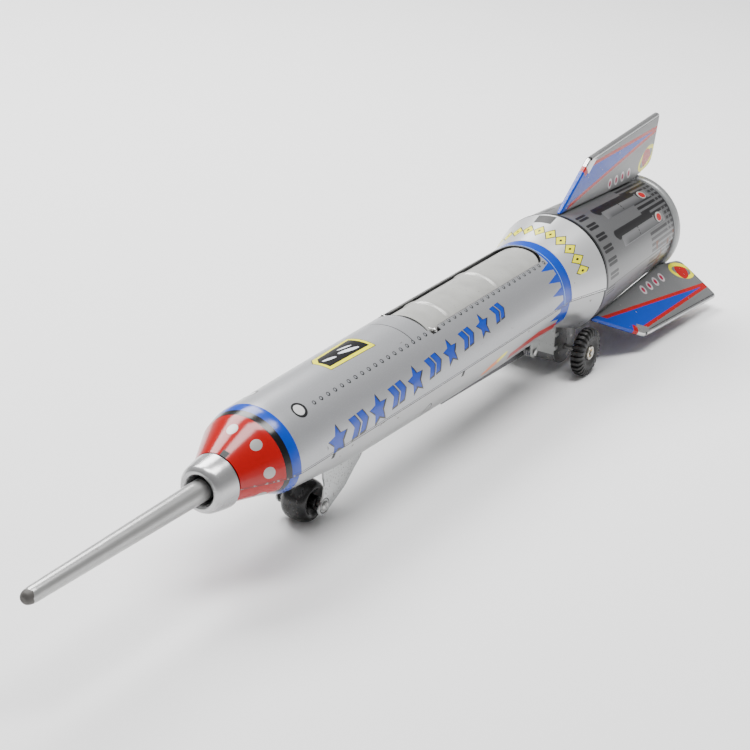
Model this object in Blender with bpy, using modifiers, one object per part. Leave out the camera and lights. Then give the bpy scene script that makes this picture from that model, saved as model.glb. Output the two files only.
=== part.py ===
"""A friction-drive tin rocket that stands itself up when its nose probe is pushed in.

Every place below is (x, station, height), measured from the empty rocket_axis, which sits on the
rocket's long axis at the ring where the nose cone meets the body: +X is port, +Y runs to the tail
and +Z is up. Sizes are in metres, written as millimetres times MM.
"""

import math

import bmesh
import bpy
from mathutils import Euler, Matrix, Vector

MM = 0.001

# Sheet metal and fits
SHEET = 0.5 * MM
PLATE = 0.8 * MM
GAP = 0.3 * MM
RUNNING = 0.3 * MM

# Body shells. Stations run back from the nose ring.
BODY_RADIUS = 20.0 * MM
BODY_SWELL = 1.8 * MM
BODY_LENGTH = 206.0 * MM
CONE_LENGTH = 22.9 * MM
CONE_END_RADIUS = 10.45 * MM
SHOULDER = 7.2 * MM
SHOULDER_DROP = 1.5 * MM
FLARE_LENGTH = 23.0 * MM
FLARE_RADIUS = 28.0 * MM
LAP = 0.85 * MM
SEAM_ANGLE = 92.0
LAP_ANGLE = 84.0
BELLY_DEPTHS = (
    (-CONE_LENGTH, CONE_END_RADIUS - 1.85 * MM),
    (-6.0 * MM, BODY_RADIUS - 9.4 * MM),
    (0.0, BODY_RADIUS - 6.4 * MM),
    (12.0 * MM, BODY_RADIUS - 4.8 * MM),
    (30.0 * MM, BODY_RADIUS - 2.4 * MM),
    (50.0 * MM, BODY_RADIUS - 0.6 * MM),
    (0.6 * BODY_LENGTH, BODY_RADIUS + 1.5 * MM),
    (0.75 * BODY_LENGTH, BODY_RADIUS + 2.0 * MM),
    (BODY_LENGTH, BODY_RADIUS + 1.4 * MM),
    (BODY_LENGTH + FLARE_LENGTH, FLARE_RADIUS - LAP),
)

# Engine drum and tail
DRUM_START = BODY_LENGTH + FLARE_LENGTH + GAP
DRUM_LENGTH = 82.5 * MM
DRUM_FRONT_RADIUS = 27.7 * MM
DRUM_REAR_RADIUS = 23.7 * MM
DRUM_END = DRUM_START + DRUM_LENGTH
RIM_RADIUS = 24.3 * MM
RIM_LENGTH = 5.6 * MM

# Stance
BODY_CLEARANCE = 18.5 * MM
AXIS_HEIGHT = BODY_RADIUS + BODY_CLEARANCE
OVERALL_FRONT = -121.0 * MM

# Nose collar and probe
COLLAR_REAR = -CONE_LENGTH - 0.5 * MM
COLLAR_FRONT = -33.2 * MM
COLLAR_REAR_RADIUS = 10.3 * MM
COLLAR_LIP_RADIUS = 8.4 * MM
BORE_RADIUS = 5.0 * MM
SLEEVE_END = -11.7 * MM
PROBE_RADIUS = 4.1 * MM
PROBE_TIP_RADIUS = 2.8 * MM
PROBE_TRAVEL = 8.0 * MM
PROBE_FLANGE_RADIUS = 7.2 * MM
PROBE_FLANGE = 2.0 * MM
SHANK_RADIUS = 2.0 * MM
SHANK_END = 20.0 * MM
NOSE_BULKHEAD = -15.5 * MM
SPRING_BULKHEAD = 16.0 * MM
SPRING_RADIUS = 3.4 * MM
SPRING_WIRE = 0.45 * MM
SPRING_TURNS = 7

# Hatch on top of the body
SLOT_FRONT = 98.9 * MM
SLOT_REAR = BODY_LENGTH - 7.0 * MM
SLOT_HALF = 11.4 * MM
SLOT_CORNER = 6.4 * MM
FRAME_WALL = 0.6 * MM
FRAME_FOOT = BODY_RADIUS - 7.5 * MM
HATCH_CLEARANCE = 0.4 * MM
HATCH_FRONT_GAP = 2.0 * MM
HATCH_CURVE = 16.0 * MM
HATCH_RECESS = 0.6 * MM
HATCH_SHEET = 0.6 * MM
HATCH_PIN = 103.6 * MM
HATCH_PIN_HEIGHT = BODY_RADIUS - 2.8 * MM
HATCH_PIN_RADIUS = 0.7 * MM
HATCH_BALL_RADIUS = 1.0 * MM
HATCH_BALL_X = SLOT_HALF + 0.5 * MM
NOTCH_X = SLOT_HALF + 1.7 * MM
NOTCH_LENGTH = 6.0 * MM
LUG_RADIUS = 1.9 * MM
LUG_X = 6.5 * MM
RIB_STATIONS = (118.6 * MM, 158.7 * MM)
RIB_RADIUS = 0.7 * MM

# Front wheel and fork
FRONT_AXLE = 31.6 * MM
FRONT_WHEEL_RADIUS = 8.5 * MM
FRONT_WHEEL_HALF = 5.5 * MM
FORK_X = 9.3 * MM
FORK_REAR = 57.0 * MM
FORK_ROOF = -11.5 * MM
FORK_BOSS = 4.0 * MM
FRONT_PIN_RADIUS = 1.0 * MM

# Erecting arm under the belly
ARM_PIVOT = BODY_LENGTH - 16.0 * MM
ARM_PIVOT_HEIGHT = -BODY_RADIUS - 1.0 * MM
ARM_FRONT = 0.58 * BODY_LENGTH
ARM_HALF = 8.2 * MM
ARM_FRONT_HEIGHT = -BODY_RADIUS - 1.6 * MM
ARM_REAR_HEIGHT = -BODY_RADIUS - 4.4 * MM
ARM_FLANGE = 4.0 * MM
ARM_PIN_RADIUS = 1.0 * MM
ARM_COIL_RADIUS = 2.2 * MM
ARM_EAR_X = 13.4 * MM
BELLY_SLOT_HALF = 14.5 * MM
BELLY_SLOT_REAR = ARM_PIVOT - 23.5 * MM

# Friction motor
MOTOR_FRONT = BODY_LENGTH + 1.5 * MM
MOTOR_REAR = BODY_LENGTH + 21.5 * MM
MOTOR_HALF = 15.0 * MM
MOTOR_FOOT = -BODY_RADIUS - 6.5 * MM
MOTOR_DEPTH = 8.3 * MM
MOTOR_TOP = 4.0 * MM
MID_PLATE_X = 2.5 * MM
GEAR_MODULE = 0.5 * MM
WHEEL_TEETH = 20
PINION_TEETH = 8
REAR_AXLE = BODY_LENGTH + 12.0 * MM
REAR_WHEEL_RADIUS = 11.0 * MM
REAR_AXLE_RADIUS = 1.0 * MM
SHAFT_RADIUS = 0.9 * MM
FLYWHEEL_RADIUS = 7.6 * MM
FLYWHEEL_X = (3.8 * MM, 11.8 * MM)
TYRE_X = (22.4 * MM, 28.0 * MM)
HUB_RADIUS = 3.0 * MM

# Fins
FIN_THICKNESS = 2.7 * MM
FIN_SHEET = 0.6 * MM
FIN_ANGLES = {"fin_top": 0.0, "fin_port": 130.0, "fin_starboard": -130.0}
FIN_SHOULDER = (28.7 * MM, 47.5 * MM)
FIN_TIP = (104.0 * MM, 52.6 * MM)
FIN_HEEL = (98.5 * MM, 28.2 * MM)
FIN_ROOT_END = 78.0 * MM

OVERALL_REAR = BODY_LENGTH + FLARE_LENGTH + FIN_TIP[0]
REAR_AXLE_HEIGHT = REAR_WHEEL_RADIUS - AXIS_HEIGHT
FRONT_AXLE_HEIGHT = FRONT_WHEEL_RADIUS - AXIS_HEIGHT
MESH_DISTANCE = GEAR_MODULE * (WHEEL_TEETH + PINION_TEETH) / 2
LAY_SHAFT_HEIGHT = REAR_AXLE_HEIGHT + MESH_DISTANCE
FLY_SHAFT_HEIGHT = LAY_SHAFT_HEIGHT + MESH_DISTANCE

FACE_Y = (-math.pi / 2, 0.0, 0.0)
FACE_X = (0.0, math.pi / 2, 0.0)
SIDE_ON = (math.pi / 2, 0.0, math.pi / 2)


def clear_scene():
    for old in list(bpy.data.objects):
        bpy.data.objects.remove(old, do_unlink=True)


def collection(name):
    made = bpy.data.collections.new(name)
    bpy.context.scene.collection.children.link(made)
    return made


def material(name, colour, roughness, metallic):
    made = bpy.data.materials.new(name)
    made.use_nodes = True
    shader = made.node_tree.nodes["Principled BSDF"]
    shader.inputs["Base Color"].default_value = (*colour, 1.0)
    shader.inputs["Roughness"].default_value = roughness
    shader.inputs["Metallic"].default_value = metallic
    return made


def add(name, mesh, parts=True, at=(0.0, 0.0, 0.0), turn=(0.0, 0.0, 0.0)):
    """Puts a mesh in the scene, in the parts or the cutters collection, under the rocket's axis."""
    made = bpy.data.objects.new(name, mesh)
    (PARTS if parts else CUTTERS).objects.link(made)
    made.parent = AXIS
    made.location = at
    made.rotation_euler = turn
    if not parts:
        made.hide_render = True
        made.display_type = "WIRE"
    return made


def finish(made, look, sharp=35.0):
    made.data.materials.clear()
    made.data.materials.append(look)
    made.data.shade_smooth()
    made.data.set_sharp_from_angle(angle=math.radians(sharp))
    return made


def mesh_from(name, build):
    """A mesh made by a function that fills a bmesh."""
    work = bmesh.new()
    build(work)
    mesh = bpy.data.meshes.new(name)
    work.to_mesh(mesh)
    work.free()
    return mesh


def block_mesh(name, low, high):
    def build(work):
        bmesh.ops.create_cube(work, size=1.0)
        middle = [(a + b) / 2 for a, b in zip(low, high)]
        size = [b - a for a, b in zip(low, high)]
        bmesh.ops.scale(work, vec=size, verts=work.verts)
        bmesh.ops.translate(work, vec=middle, verts=work.verts)

    return mesh_from(name, build)


def block(name, low, high, parts=True, at=(0.0, 0.0, 0.0)):
    return add(name, block_mesh(name, low, high), parts, at)


def rod_mesh(name, radius, low, high, sides=24):
    """A cylinder along X from low to high."""

    def build(work):
        bmesh.ops.create_cone(
            work, cap_ends=True, segments=sides, radius1=radius, radius2=radius, depth=high - low
        )
        for vert in work.verts:
            x, y, z = vert.co
            vert.co = (z + (low + high) / 2, y, -x)

    return mesh_from(name, build)


def rod(name, radius, low, high, at, parts=True, sides=24):
    return add(name, rod_mesh(name, radius, low, high, sides), parts, at)


def modifier(made, kind, **settings):
    added = made.modifiers.new(kind.lower(), kind)
    for key, value in settings.items():
        setattr(added, key, value)
    return added


def boolean(made, other, operation):
    modifier(made, "BOOLEAN", object=other, operation=operation, solver="EXACT")
    return made


def cut(made, *cutters):
    for cutter in cutters:
        boolean(made, cutter, "DIFFERENCE")
    return made


def join(made, *others):
    for other in others:
        boolean(made, other, "UNION")
    return made


def clockwise(loop):
    """The loop turned so that its outer side runs down, which faces a turned shape outwards."""
    area = sum(a[0] * b[1] - b[0] * a[1] for a, b in zip(loop, loop[1:] + loop[:1]))
    return loop if area < 0 else loop[::-1]


def turned(name, profile, parts=True, at=(0.0, 0.0, 0.0), turn=FACE_Y, steps=36):
    """A turned solid: profile points are (radius, along), and the ends may lie on the axis."""
    loop = clockwise(list(profile))
    on_axis = [i for i, point in enumerate(loop) if abs(point[0]) < 0.001 * MM]
    if len(on_axis) == 2 and on_axis != [0, len(loop) - 1]:
        loop = loop[on_axis[1] :] + loop[: on_axis[1]]

    def build(work):
        verts = [work.verts.new((r, 0.0, z)) for r, z in loop]
        for a, b in zip(verts, verts[1:]):
            work.edges.new((a, b))
        if len(on_axis) != 2:
            work.edges.new((verts[-1], verts[0]))

    made = add(name, mesh_from(name, build), parts, at, turn)
    modifier(
        made,
        "SCREW",
        axis="Z",
        angle=2 * math.pi,
        steps=steps,
        render_steps=steps,
        use_merge_vertices=True,
        merge_threshold=0.00001,
    )
    return made


def thick_line(points, thickness):
    """A closed loop round an open line of (radius, along) points, with the sheet on its right."""
    inner = []
    for i, point in enumerate(points):
        here = Vector(point)
        before = (here - Vector(points[i - 1])).normalized() if i else None
        after = (Vector(points[i + 1]) - here).normalized() if i + 1 < len(points) else None
        along = ((before or after) + (after or before)).normalized()
        side = Vector((along.y, -along.x))
        lean = side.dot(Vector(((after or before).y, -(after or before).x)))
        inner.append(tuple(here + side * thickness / lean))
    return list(points) + inner[::-1]


def outline_mesh(name, loops, thickness):
    """A flat plate in XY from closed loops, holes included, extruded half its thickness each way."""
    curve = bpy.data.curves.new(name, "CURVE")
    curve.dimensions = "2D"
    curve.fill_mode = "BOTH"
    curve.extrude = thickness / 2
    for loop in loops:
        spline = curve.splines.new("POLY")
        spline.points.add(len(loop) - 1)
        for point, place in zip(spline.points, loop):
            point.co = (place[0], place[1], 0.0, 1.0)
        spline.use_cyclic_u = True
    return settled_mesh(name, curve)


def settled_mesh(name, curve):
    """The curve's closed mesh, with its loose caps welded on and the curve removed."""
    holder = bpy.data.objects.new(name + "_curve", curve)
    bpy.context.scene.collection.objects.link(holder)
    graph = bpy.context.evaluated_depsgraph_get()
    mesh = bpy.data.meshes.new_from_object(holder.evaluated_get(graph))
    bpy.data.objects.remove(holder, do_unlink=True)
    work = bmesh.new()
    work.from_mesh(mesh)
    bmesh.ops.remove_doubles(work, verts=work.verts, dist=0.000001)
    bmesh.ops.recalc_face_normals(work, faces=work.faces)
    work.to_mesh(mesh)
    work.free()
    mesh.name = name
    return mesh


def tube_mesh(name, points, radius, sides=2):
    curve = bpy.data.curves.new(name, "CURVE")
    curve.dimensions = "3D"
    curve.bevel_depth = radius
    curve.bevel_resolution = sides
    curve.use_fill_caps = True
    spline = curve.splines.new("POLY")
    spline.points.add(len(points) - 1)
    for point, place in zip(spline.points, points):
        point.co = (*place, 1.0)
    return settled_mesh(name, curve)


def arc(centre, radius, start, end, steps):
    """Points on an arc, angles in degrees from the first axis."""
    cx, cy = centre
    turns = [math.radians(start + (end - start) * i / steps) for i in range(steps + 1)]
    return [(cx + radius * math.cos(t), cy + radius * math.sin(t)) for t in turns]


def between(table, x):
    """The value at x on the straight lines through a table of (x, value)."""
    if x <= table[0][0]:
        return table[0][1]
    for (x0, v0), (x1, v1) in zip(table, table[1:]):
        if x <= x1:
            return v0 + (v1 - v0) * (x - x0) / (x1 - x0)
    return table[-1][1]


def body_radius(station):
    """Outer radius of the upper shell: cone, rounded shoulder, slightly swelling body, flare."""
    cone = (
        (-CONE_LENGTH, CONE_END_RADIUS),
        (-SHOULDER, BODY_RADIUS - SHOULDER_DROP),
        (-0.6 * SHOULDER, BODY_RADIUS - 0.5 * SHOULDER_DROP),
        (-0.25 * SHOULDER, BODY_RADIUS - 0.13 * SHOULDER_DROP),
        (0.0, BODY_RADIUS),
    )
    if station <= 0.0:
        return between(cone, station)
    if station <= BODY_LENGTH:
        share = station / BODY_LENGTH
        return BODY_RADIUS + BODY_SWELL * (1 - (1 - share) ** 2)
    share = (station - BODY_LENGTH) / FLARE_LENGTH
    start = BODY_RADIUS + BODY_SWELL
    return start + (FLARE_RADIUS - start) * min(share, 1.0)


def body_stations():
    cone = [-CONE_LENGTH, -SHOULDER, -0.6 * SHOULDER, -0.25 * SHOULDER, 0.0]
    body = [BODY_LENGTH * i / 5 for i in range(1, 6)]
    return cone + body + [BODY_LENGTH + FLARE_LENGTH]


def belly_stations():
    """Stations of the lower shell, rounded so that none is met twice."""
    places = body_stations() + [place for place, _ in BELLY_DEPTHS]
    return sorted({round(place, 6) for place in places})


def round_section(radius):
    """An outline on a circle, by angle from the top."""
    return lambda station, angle: (
        radius(station) * math.sin(angle),
        radius(station) * math.cos(angle),
    )


def belly_section(width, depth):
    """An outline that is round above the axis and an ellipse below it."""

    def outline(station, angle):
        across = width(station) * math.sin(angle)
        share = math.cos(angle)
        return across, share * (width(station) if share > 0 else depth(station))

    return outline


def angle_steps(start, end, steps):
    return [math.radians(start + (end - start) * i / steps) for i in range(steps + 1)]


def sheet_mesh(name, stations, angles, outline):
    """An open surface through one section for each station."""

    def build(work):
        rows = []
        for station in stations:
            row = []
            for angle in angles:
                x, height = outline(station, angle)
                row.append(work.verts.new((x, station, height)))
            rows.append(row)
        for near, far in zip(rows, rows[1:]):
            for a, b, c, d in zip(near, near[1:], far[1:], far):
                work.faces.new((a, b, c, d))

    return mesh_from(name, build)


def shell(name, stations, angles, outline, thickness=SHEET):
    made = add(name, sheet_mesh(name, stations, angles, outline))
    modifier(made, "SOLIDIFY", thickness=thickness, offset=-1.0, use_even_offset=True)
    return made


def closed_loft(name, stations, outline, steps=36):
    """A closed solid through full sections, for cutting pieces to the inside of the shells."""
    angles = angle_steps(0.0, 360.0, steps)[:-1]

    def build(work):
        rows = []
        for station in stations:
            places = [outline(station, angle) for angle in angles]
            rows.append([work.verts.new((x, station, height)) for x, height in places])
        for near, far in zip(rows, rows[1:]):
            for i in range(steps):
                j = (i + 1) % steps
                work.faces.new((near[i], near[j], far[j], far[i]))
        work.faces.new(rows[0][::-1])
        work.faces.new(rows[-1])
        bmesh.ops.recalc_face_normals(work, faces=work.faces)

    return add(name, mesh_from(name, build), parts=False)


def lower_width(station):
    return body_radius(station) - LAP


def belly_depth(station):
    return between(BELLY_DEPTHS, station)


def drum_radius(station):
    share = (station - DRUM_START) / DRUM_LENGTH
    return DRUM_FRONT_RADIUS + (DRUM_REAR_RADIUS - DRUM_FRONT_RADIUS) * share


def slot_outline(half, front, rear, radius):
    """A slot seen from above: square in front, round corners behind."""
    right = arc((half - radius, rear - radius), radius, 0.0, 90.0, 6)
    left = arc((radius - half, rear - radius), radius, 90.0, 180.0, 6)
    return [(-half, front), (half, front)] + right + left


def hatch_outline(grow, front=SLOT_FRONT, rear=SLOT_REAR):
    return slot_outline(SLOT_HALF + grow, front - grow, rear + grow, SLOT_CORNER + grow)


def slab(name, outline, low, high):
    """A cutter with an outline seen from above, from one height to another."""
    mesh = outline_mesh(name, [outline], high - low)
    return add(name, mesh, parts=False, at=(0.0, 0.0, (low + high) / 2))


def build_notches():
    """Cutters for the notch at each end of the hatch's pin."""
    low = HATCH_PIN_HEIGHT - HATCH_BALL_RADIUS - GAP
    front = HATCH_PIN - NOTCH_LENGTH / 2
    rear = HATCH_PIN + NOTCH_LENGTH / 2
    inner = SLOT_HALF - 1.4 * MM
    port = block("notch_port", (inner, front, low), (NOTCH_X, rear, 24 * MM), parts=False)
    starboard = block("notch_starboard", (-NOTCH_X, front, low), (-inner, rear, 24 * MM), False)
    return port, starboard


def build_interiors():
    """Solids a little inside the shells, which trim bulkheads and frames to fit."""
    inset = SHEET + GAP
    upper = closed_loft(
        "inside_upper", body_stations(), round_section(lambda s: body_radius(s) - inset)
    )
    lower = closed_loft(
        "inside_lower",
        belly_stations(),
        belly_section(lambda s: lower_width(s) - inset, lambda s: belly_depth(s) - inset),
    )
    return upper, lower


def build_upper_shell(notches, look):
    angles = angle_steps(-SEAM_ANGLE, SEAM_ANGLE, 24)
    made = shell("upper_shell", body_stations(), angles, round_section(body_radius))
    cut(made, slab("hatch_slot", hatch_outline(0.0), 10 * MM, 30 * MM), *notches)
    return finish(made, look)


def build_lower_shell(look):
    angles = angle_steps(LAP_ANGLE, 360.0 - LAP_ANGLE, 26)
    made = shell("lower_shell", belly_stations(), angles, belly_section(lower_width, belly_depth))
    deep = -32.0 * MM
    top = -9.0 * MM
    for name, side in (("port", 1), ("starboard", -1)):
        edges = sorted((side * (FORK_X - PLATE), side * (FORK_X + PLATE)))
        low = (edges[0], FRONT_AXLE - 6.0 * MM, deep)
        high = (edges[1], FORK_REAR + 1.0 * MM, -6.0 * MM)
        cut(made, block(f"fork_slit_{name}", low, high, parts=False))
    wide = slot_outline(BELLY_SLOT_HALF, ARM_FRONT - 2.0 * MM, BELLY_SLOT_REAR, 6.0 * MM)
    half = ARM_HALF + 0.7 * MM
    long = slot_outline(half, ARM_FRONT, BODY_LENGTH - 7.0 * MM, 2.0 * MM)
    cut(made, slab("belly_slot", wide, deep, top), slab("arm_slot", long, deep + MM, top - MM))
    ears = ARM_EAR_X + PLATE
    low = (-ears, ARM_PIVOT - 5.0 * MM, deep)
    high = (ears, BODY_LENGTH - 8.0 * MM, top)
    box = MOTOR_HALF + 0.6 * MM
    front = (-box, MOTOR_FRONT - 2.6 * MM, deep)
    rear = (box, MOTOR_REAR + 0.3 * MM, top)
    cut(made, block("ear_slot", low, high, False), block("motor_slot", front, rear, False))
    return finish(made, look)


def build_drum(upper_look, lower_look):
    stations = [DRUM_START, DRUM_END]
    angles = angle_steps(-SEAM_ANGLE, SEAM_ANGLE, 24)
    finish(shell("drum_upper", stations, angles, round_section(drum_radius)), upper_look)
    angles = angle_steps(LAP_ANGLE, 360.0 - LAP_ANGLE, 26)
    lower = round_section(lambda station: drum_radius(station) - LAP)
    finish(shell("drum_lower", stations, angles, lower), lower_look)


def build_tail(look):
    """Pressed tail cap: a flange inside the drum, a rolled rim and a dished face with a nozzle."""
    flange = DRUM_REAR_RADIUS - LAP - 2 * SHEET - GAP
    step = DRUM_END + GAP + SHEET
    line = [
        (flange, DRUM_END - 7.0 * MM),
        (flange, step),
        (RIM_RADIUS - 0.6 * MM, step),
        (RIM_RADIUS, step + MM),
        (RIM_RADIUS, DRUM_END + RIM_LENGTH - 1.6 * MM),
        (RIM_RADIUS - 1.2 * MM, DRUM_END + RIM_LENGTH - 0.3 * MM),
        (RIM_RADIUS - 2.6 * MM, DRUM_END + RIM_LENGTH - 0.6 * MM),
        (RIM_RADIUS - 4.0 * MM, DRUM_END - 1.0 * MM),
        (9.0 * MM, DRUM_END - 3.0 * MM),
        (7.5 * MM, DRUM_END + 2.5 * MM),
        (5.5 * MM, DRUM_END + 2.5 * MM),
        (4.0 * MM, DRUM_END - 4.0 * MM),
        (0.0, DRUM_END - 4.0 * MM),
    ]
    finish(turned("tail_cap", thick_line(line, SHEET), steps=32), look)


def build_collar(look):
    """Nose cup drawn in one piece: tapered skirt, rolled lip, dished face and guide sleeve."""
    line = [
        (COLLAR_REAR_RADIUS, COLLAR_REAR),
        (COLLAR_LIP_RADIUS, COLLAR_FRONT + 1.8 * MM),
        (COLLAR_LIP_RADIUS - 0.6 * MM, COLLAR_FRONT + 0.5 * MM),
        (COLLAR_LIP_RADIUS - 1.7 * MM, COLLAR_FRONT),
        (BORE_RADIUS + 0.7 * MM, COLLAR_FRONT + 0.9 * MM),
        (BORE_RADIUS, COLLAR_FRONT + 1.8 * MM),
        (BORE_RADIUS, SLEEVE_END),
    ]
    finish(turned("nose_collar", thick_line(line, SHEET), steps=28), look)


def build_probe(look):
    root = SLEEVE_END + GAP
    profile = [
        (0.0, OVERALL_FRONT),
        (0.55 * PROBE_TIP_RADIUS, OVERALL_FRONT + 0.5 * MM),
        (0.85 * PROBE_TIP_RADIUS, OVERALL_FRONT + 1.6 * MM),
        (PROBE_TIP_RADIUS, OVERALL_FRONT + 3.6 * MM),
        (PROBE_RADIUS, COLLAR_FRONT),
        (PROBE_RADIUS, root),
        (PROBE_FLANGE_RADIUS, root),
        (PROBE_FLANGE_RADIUS, root + PROBE_FLANGE),
        (SHANK_RADIUS, root + PROBE_FLANGE),
        (SHANK_RADIUS, SHANK_END),
        (0.0, SHANK_END),
    ]
    finish(turned("nose_probe", profile, steps=20), look)


def coil_points(radius, start, end, turns, per_turn=8):
    """Points along a coil about Y from start to end."""
    count = turns * per_turn
    points = []
    for i in range(count + 1):
        angle = 2 * math.pi * i / per_turn
        along = start + (end - start) * i / count
        points.append((radius * math.cos(angle), along, radius * math.sin(angle)))
    return points


def build_probe_spring(look):
    start = SLEEVE_END + GAP + PROBE_FLANGE + GAP + SPRING_WIRE
    end = SPRING_BULKHEAD - PLATE / 2 - GAP - SPRING_WIRE
    points = coil_points(SPRING_RADIUS, start, end, SPRING_TURNS)
    finish(add("probe_spring", tube_mesh("probe_spring", points, SPRING_WIRE, 1)), look, 60.0)


def build_trigger_rod(look):
    """Bent wire from the probe's shank back to the arm, above which it slides freely."""
    points = [
        (0.0, SHANK_END + GAP, 0.0),
        (0.0, 0.24 * BODY_LENGTH, 0.0),
        (0.0, 0.28 * BODY_LENGTH, -1.0 * MM),
        (0.0, 0.50 * BODY_LENGTH, -15.0 * MM),
        (0.0, 0.53 * BODY_LENGTH, -16.0 * MM),
        (0.0, ARM_FRONT - 2.0 * MM, -16.0 * MM),
    ]
    finish(add("trigger_rod", tube_mesh("trigger_rod", points, 0.8 * MM)), look, 60.0)


def bulkhead(name, station, hole, inside, look):
    """A pressed disc trimmed to the shells, with a round hole on the axis."""
    half = PLATE / 2
    wide = FLARE_RADIUS
    made = block(name, (-wide, -half, -wide), (wide, half, wide), at=(0.0, station, 0.0))
    boolean(made, inside, "INTERSECT")
    drill = turned(
        name + "_hole",
        [(0.0, -5 * MM), (hole, -5 * MM), (hole, 5 * MM), (0.0, 5 * MM)],
        parts=False,
        at=(0.0, station, 0.0),
        steps=20,
    )
    cut(made, drill)
    return finish(made, look)


def build_hatch_frame(inside, notches, look):
    """Folded wall below the slot's edge, trimmed to the curve of the upper shell."""
    depth = 20.0 * MM
    mesh = outline_mesh("hatch_frame", [hatch_outline(FRAME_WALL), hatch_outline(0.0)], depth)
    made = add("hatch_frame", mesh, at=(0.0, 0.0, FRAME_FOOT + depth / 2))
    boolean(made, inside, "INTERSECT")
    cut(made, *notches)
    return finish(made, look)


def hatch_height(x, station):
    """Height of the hatch's outer face, which is curved more tightly than the body."""
    drop = HATCH_CURVE - math.sqrt(HATCH_CURVE**2 - x**2)
    return body_radius(station) - HATCH_RECESS - drop


def build_hatch(look):
    """The long convex hatch, hinged at its front end on a cross pin."""
    half = SLOT_HALF - HATCH_CLEARANCE
    front = SLOT_FRONT + HATCH_FRONT_GAP - HATCH_PIN
    rear = SLOT_REAR - 1.2 * MM - HATCH_PIN

    def build(work):
        rows = []
        for j in range(4):
            along = front - MM + (rear - front + 2 * MM) * j / 3
            row = []
            for i in range(13):
                x = (half + 0.6 * MM) * (i / 6 - 1)
                height = hatch_height(x, along + HATCH_PIN) - HATCH_PIN_HEIGHT
                row.append(work.verts.new((x, along, height)))
            rows.append(row)
        for near, far in zip(rows, rows[1:]):
            for a, b, c, d in zip(near, near[1:], far[1:], far):
                work.faces.new((a, b, c, d))

    at = (0.0, HATCH_PIN, HATCH_PIN_HEIGHT)
    made = add("hatch_cover", mesh_from("hatch_cover", build), at=at)
    modifier(made, "SOLIDIFY", thickness=HATCH_SHEET, offset=-1.0, use_even_offset=True)
    plan = slot_outline(half, front + HATCH_PIN, rear + HATCH_PIN, SLOT_CORNER)
    boolean(made, slab("hatch_plan", plan, 0.0, 40 * MM), "INTERSECT")
    for number, station in enumerate(RIB_STATIONS):
        reach = half - 1.6 * MM
        steps = 10
        sweep = [reach * (2 * i / steps - 1) for i in range(steps + 1)]
        points = [(x, station, hatch_height(x, station) - 0.25 * MM) for x in sweep]
        rib = add(f"rib_{number}", tube_mesh(f"rib_{number}", points, RIB_RADIUS, 1), False)
        join(made, rib)
    for side in (-1, 1):
        low = side * LUG_X - 0.6 * MM
        join(made, rod(f"lug_{side}", LUG_RADIUS, low, low + 1.2 * MM, at, parts=False))
    bore = rod("hatch_bore", HATCH_PIN_RADIUS + RUNNING, -SLOT_HALF, SLOT_HALF, at, parts=False)
    cut(made, bore)
    return finish(made, look)


def build_hatch_pin(look):
    """Cross wire with a ball formed on each end."""
    neck = math.degrees(math.asin(HATCH_PIN_RADIUS / HATCH_BALL_RADIUS))
    turn = arc((HATCH_BALL_X, 0.0), HATCH_BALL_RADIUS, 0.0, 180.0 - neck, 7)
    right = [(r, x) for x, r in turn]
    profile = right + [(r, -x) for r, x in right[::-1]]
    at = (0.0, HATCH_PIN, HATCH_PIN_HEIGHT)
    finish(turned("hatch_pin", profile, at=at, turn=FACE_X, steps=14), look, 50.0)


def torsion_points(radius, start, end, turns, front_leg, rear_leg, per_turn=8):
    """A coil about X, entered and left along its lowest side by straight legs fore and aft."""
    count = turns * per_turn
    points = [(start, -front_leg, -radius)]
    for i in range(count + 1):
        angle = 2 * math.pi * i / per_turn
        along = start + (end - start) * i / count
        points.append((along, radius * math.sin(angle), -radius * math.cos(angle)))
    points.append((end, rear_leg, -radius))
    return points


def build_hatch_spring(look):
    points = torsion_points(1.45 * MM, -2.6 * MM, 2.6 * MM, 5, 2.0 * MM, 7.0 * MM)
    mesh = tube_mesh("hatch_spring", points, 0.3 * MM, 1)
    finish(add("hatch_spring", mesh, at=(0.0, HATCH_PIN, HATCH_PIN_HEIGHT)), look, 60.0)


def fork_side():
    """Side view of a fork cheek, (station, height): a triangle with a round boss at the axle."""
    boss = arc((FRONT_AXLE, FRONT_AXLE_HEIGHT), FORK_BOSS, 190.0, 320.0, 10)
    return [
        (FRONT_AXLE - 1.4 * MM, FORK_ROOF),
        (FRONT_AXLE - 1.4 * MM, -18.0 * MM),
        (FRONT_AXLE + 0.2 * MM, -22.0 * MM),
        (FRONT_AXLE - 1.2 * MM, -26.5 * MM),
        *boss,
        (FRONT_AXLE + 14.0 * MM, -27.6 * MM),
        (FRONT_AXLE + 19.5 * MM, -22.5 * MM),
        (FORK_REAR, -18.2 * MM),
        (FORK_REAR, FORK_ROOF),
    ]


def build_fork(look):
    """Tin channel: a roof inside the belly and two cheeks that pass down through slits."""
    made = block(
        "front_fork",
        (-FORK_X - PLATE / 2, FRONT_AXLE - 1.4 * MM, FORK_ROOF),
        (FORK_X + PLATE / 2, FORK_REAR, FORK_ROOF + PLATE),
    )
    for side in (-1, 1):
        mesh = outline_mesh(f"cheek_{side}", [fork_side()], PLATE)
        cheek = add(f"cheek_{side}", mesh, False, (side * FORK_X, 0.0, 0.2 * MM), SIDE_ON)
        join(made, cheek)
    hole = rod(
        "fork_bore",
        FRONT_PIN_RADIUS + RUNNING,
        -12 * MM,
        12 * MM,
        (0.0, FRONT_AXLE, FRONT_AXLE_HEIGHT),
        parts=False,
    )
    cut(made, hole)
    return finish(made, look)


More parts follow.
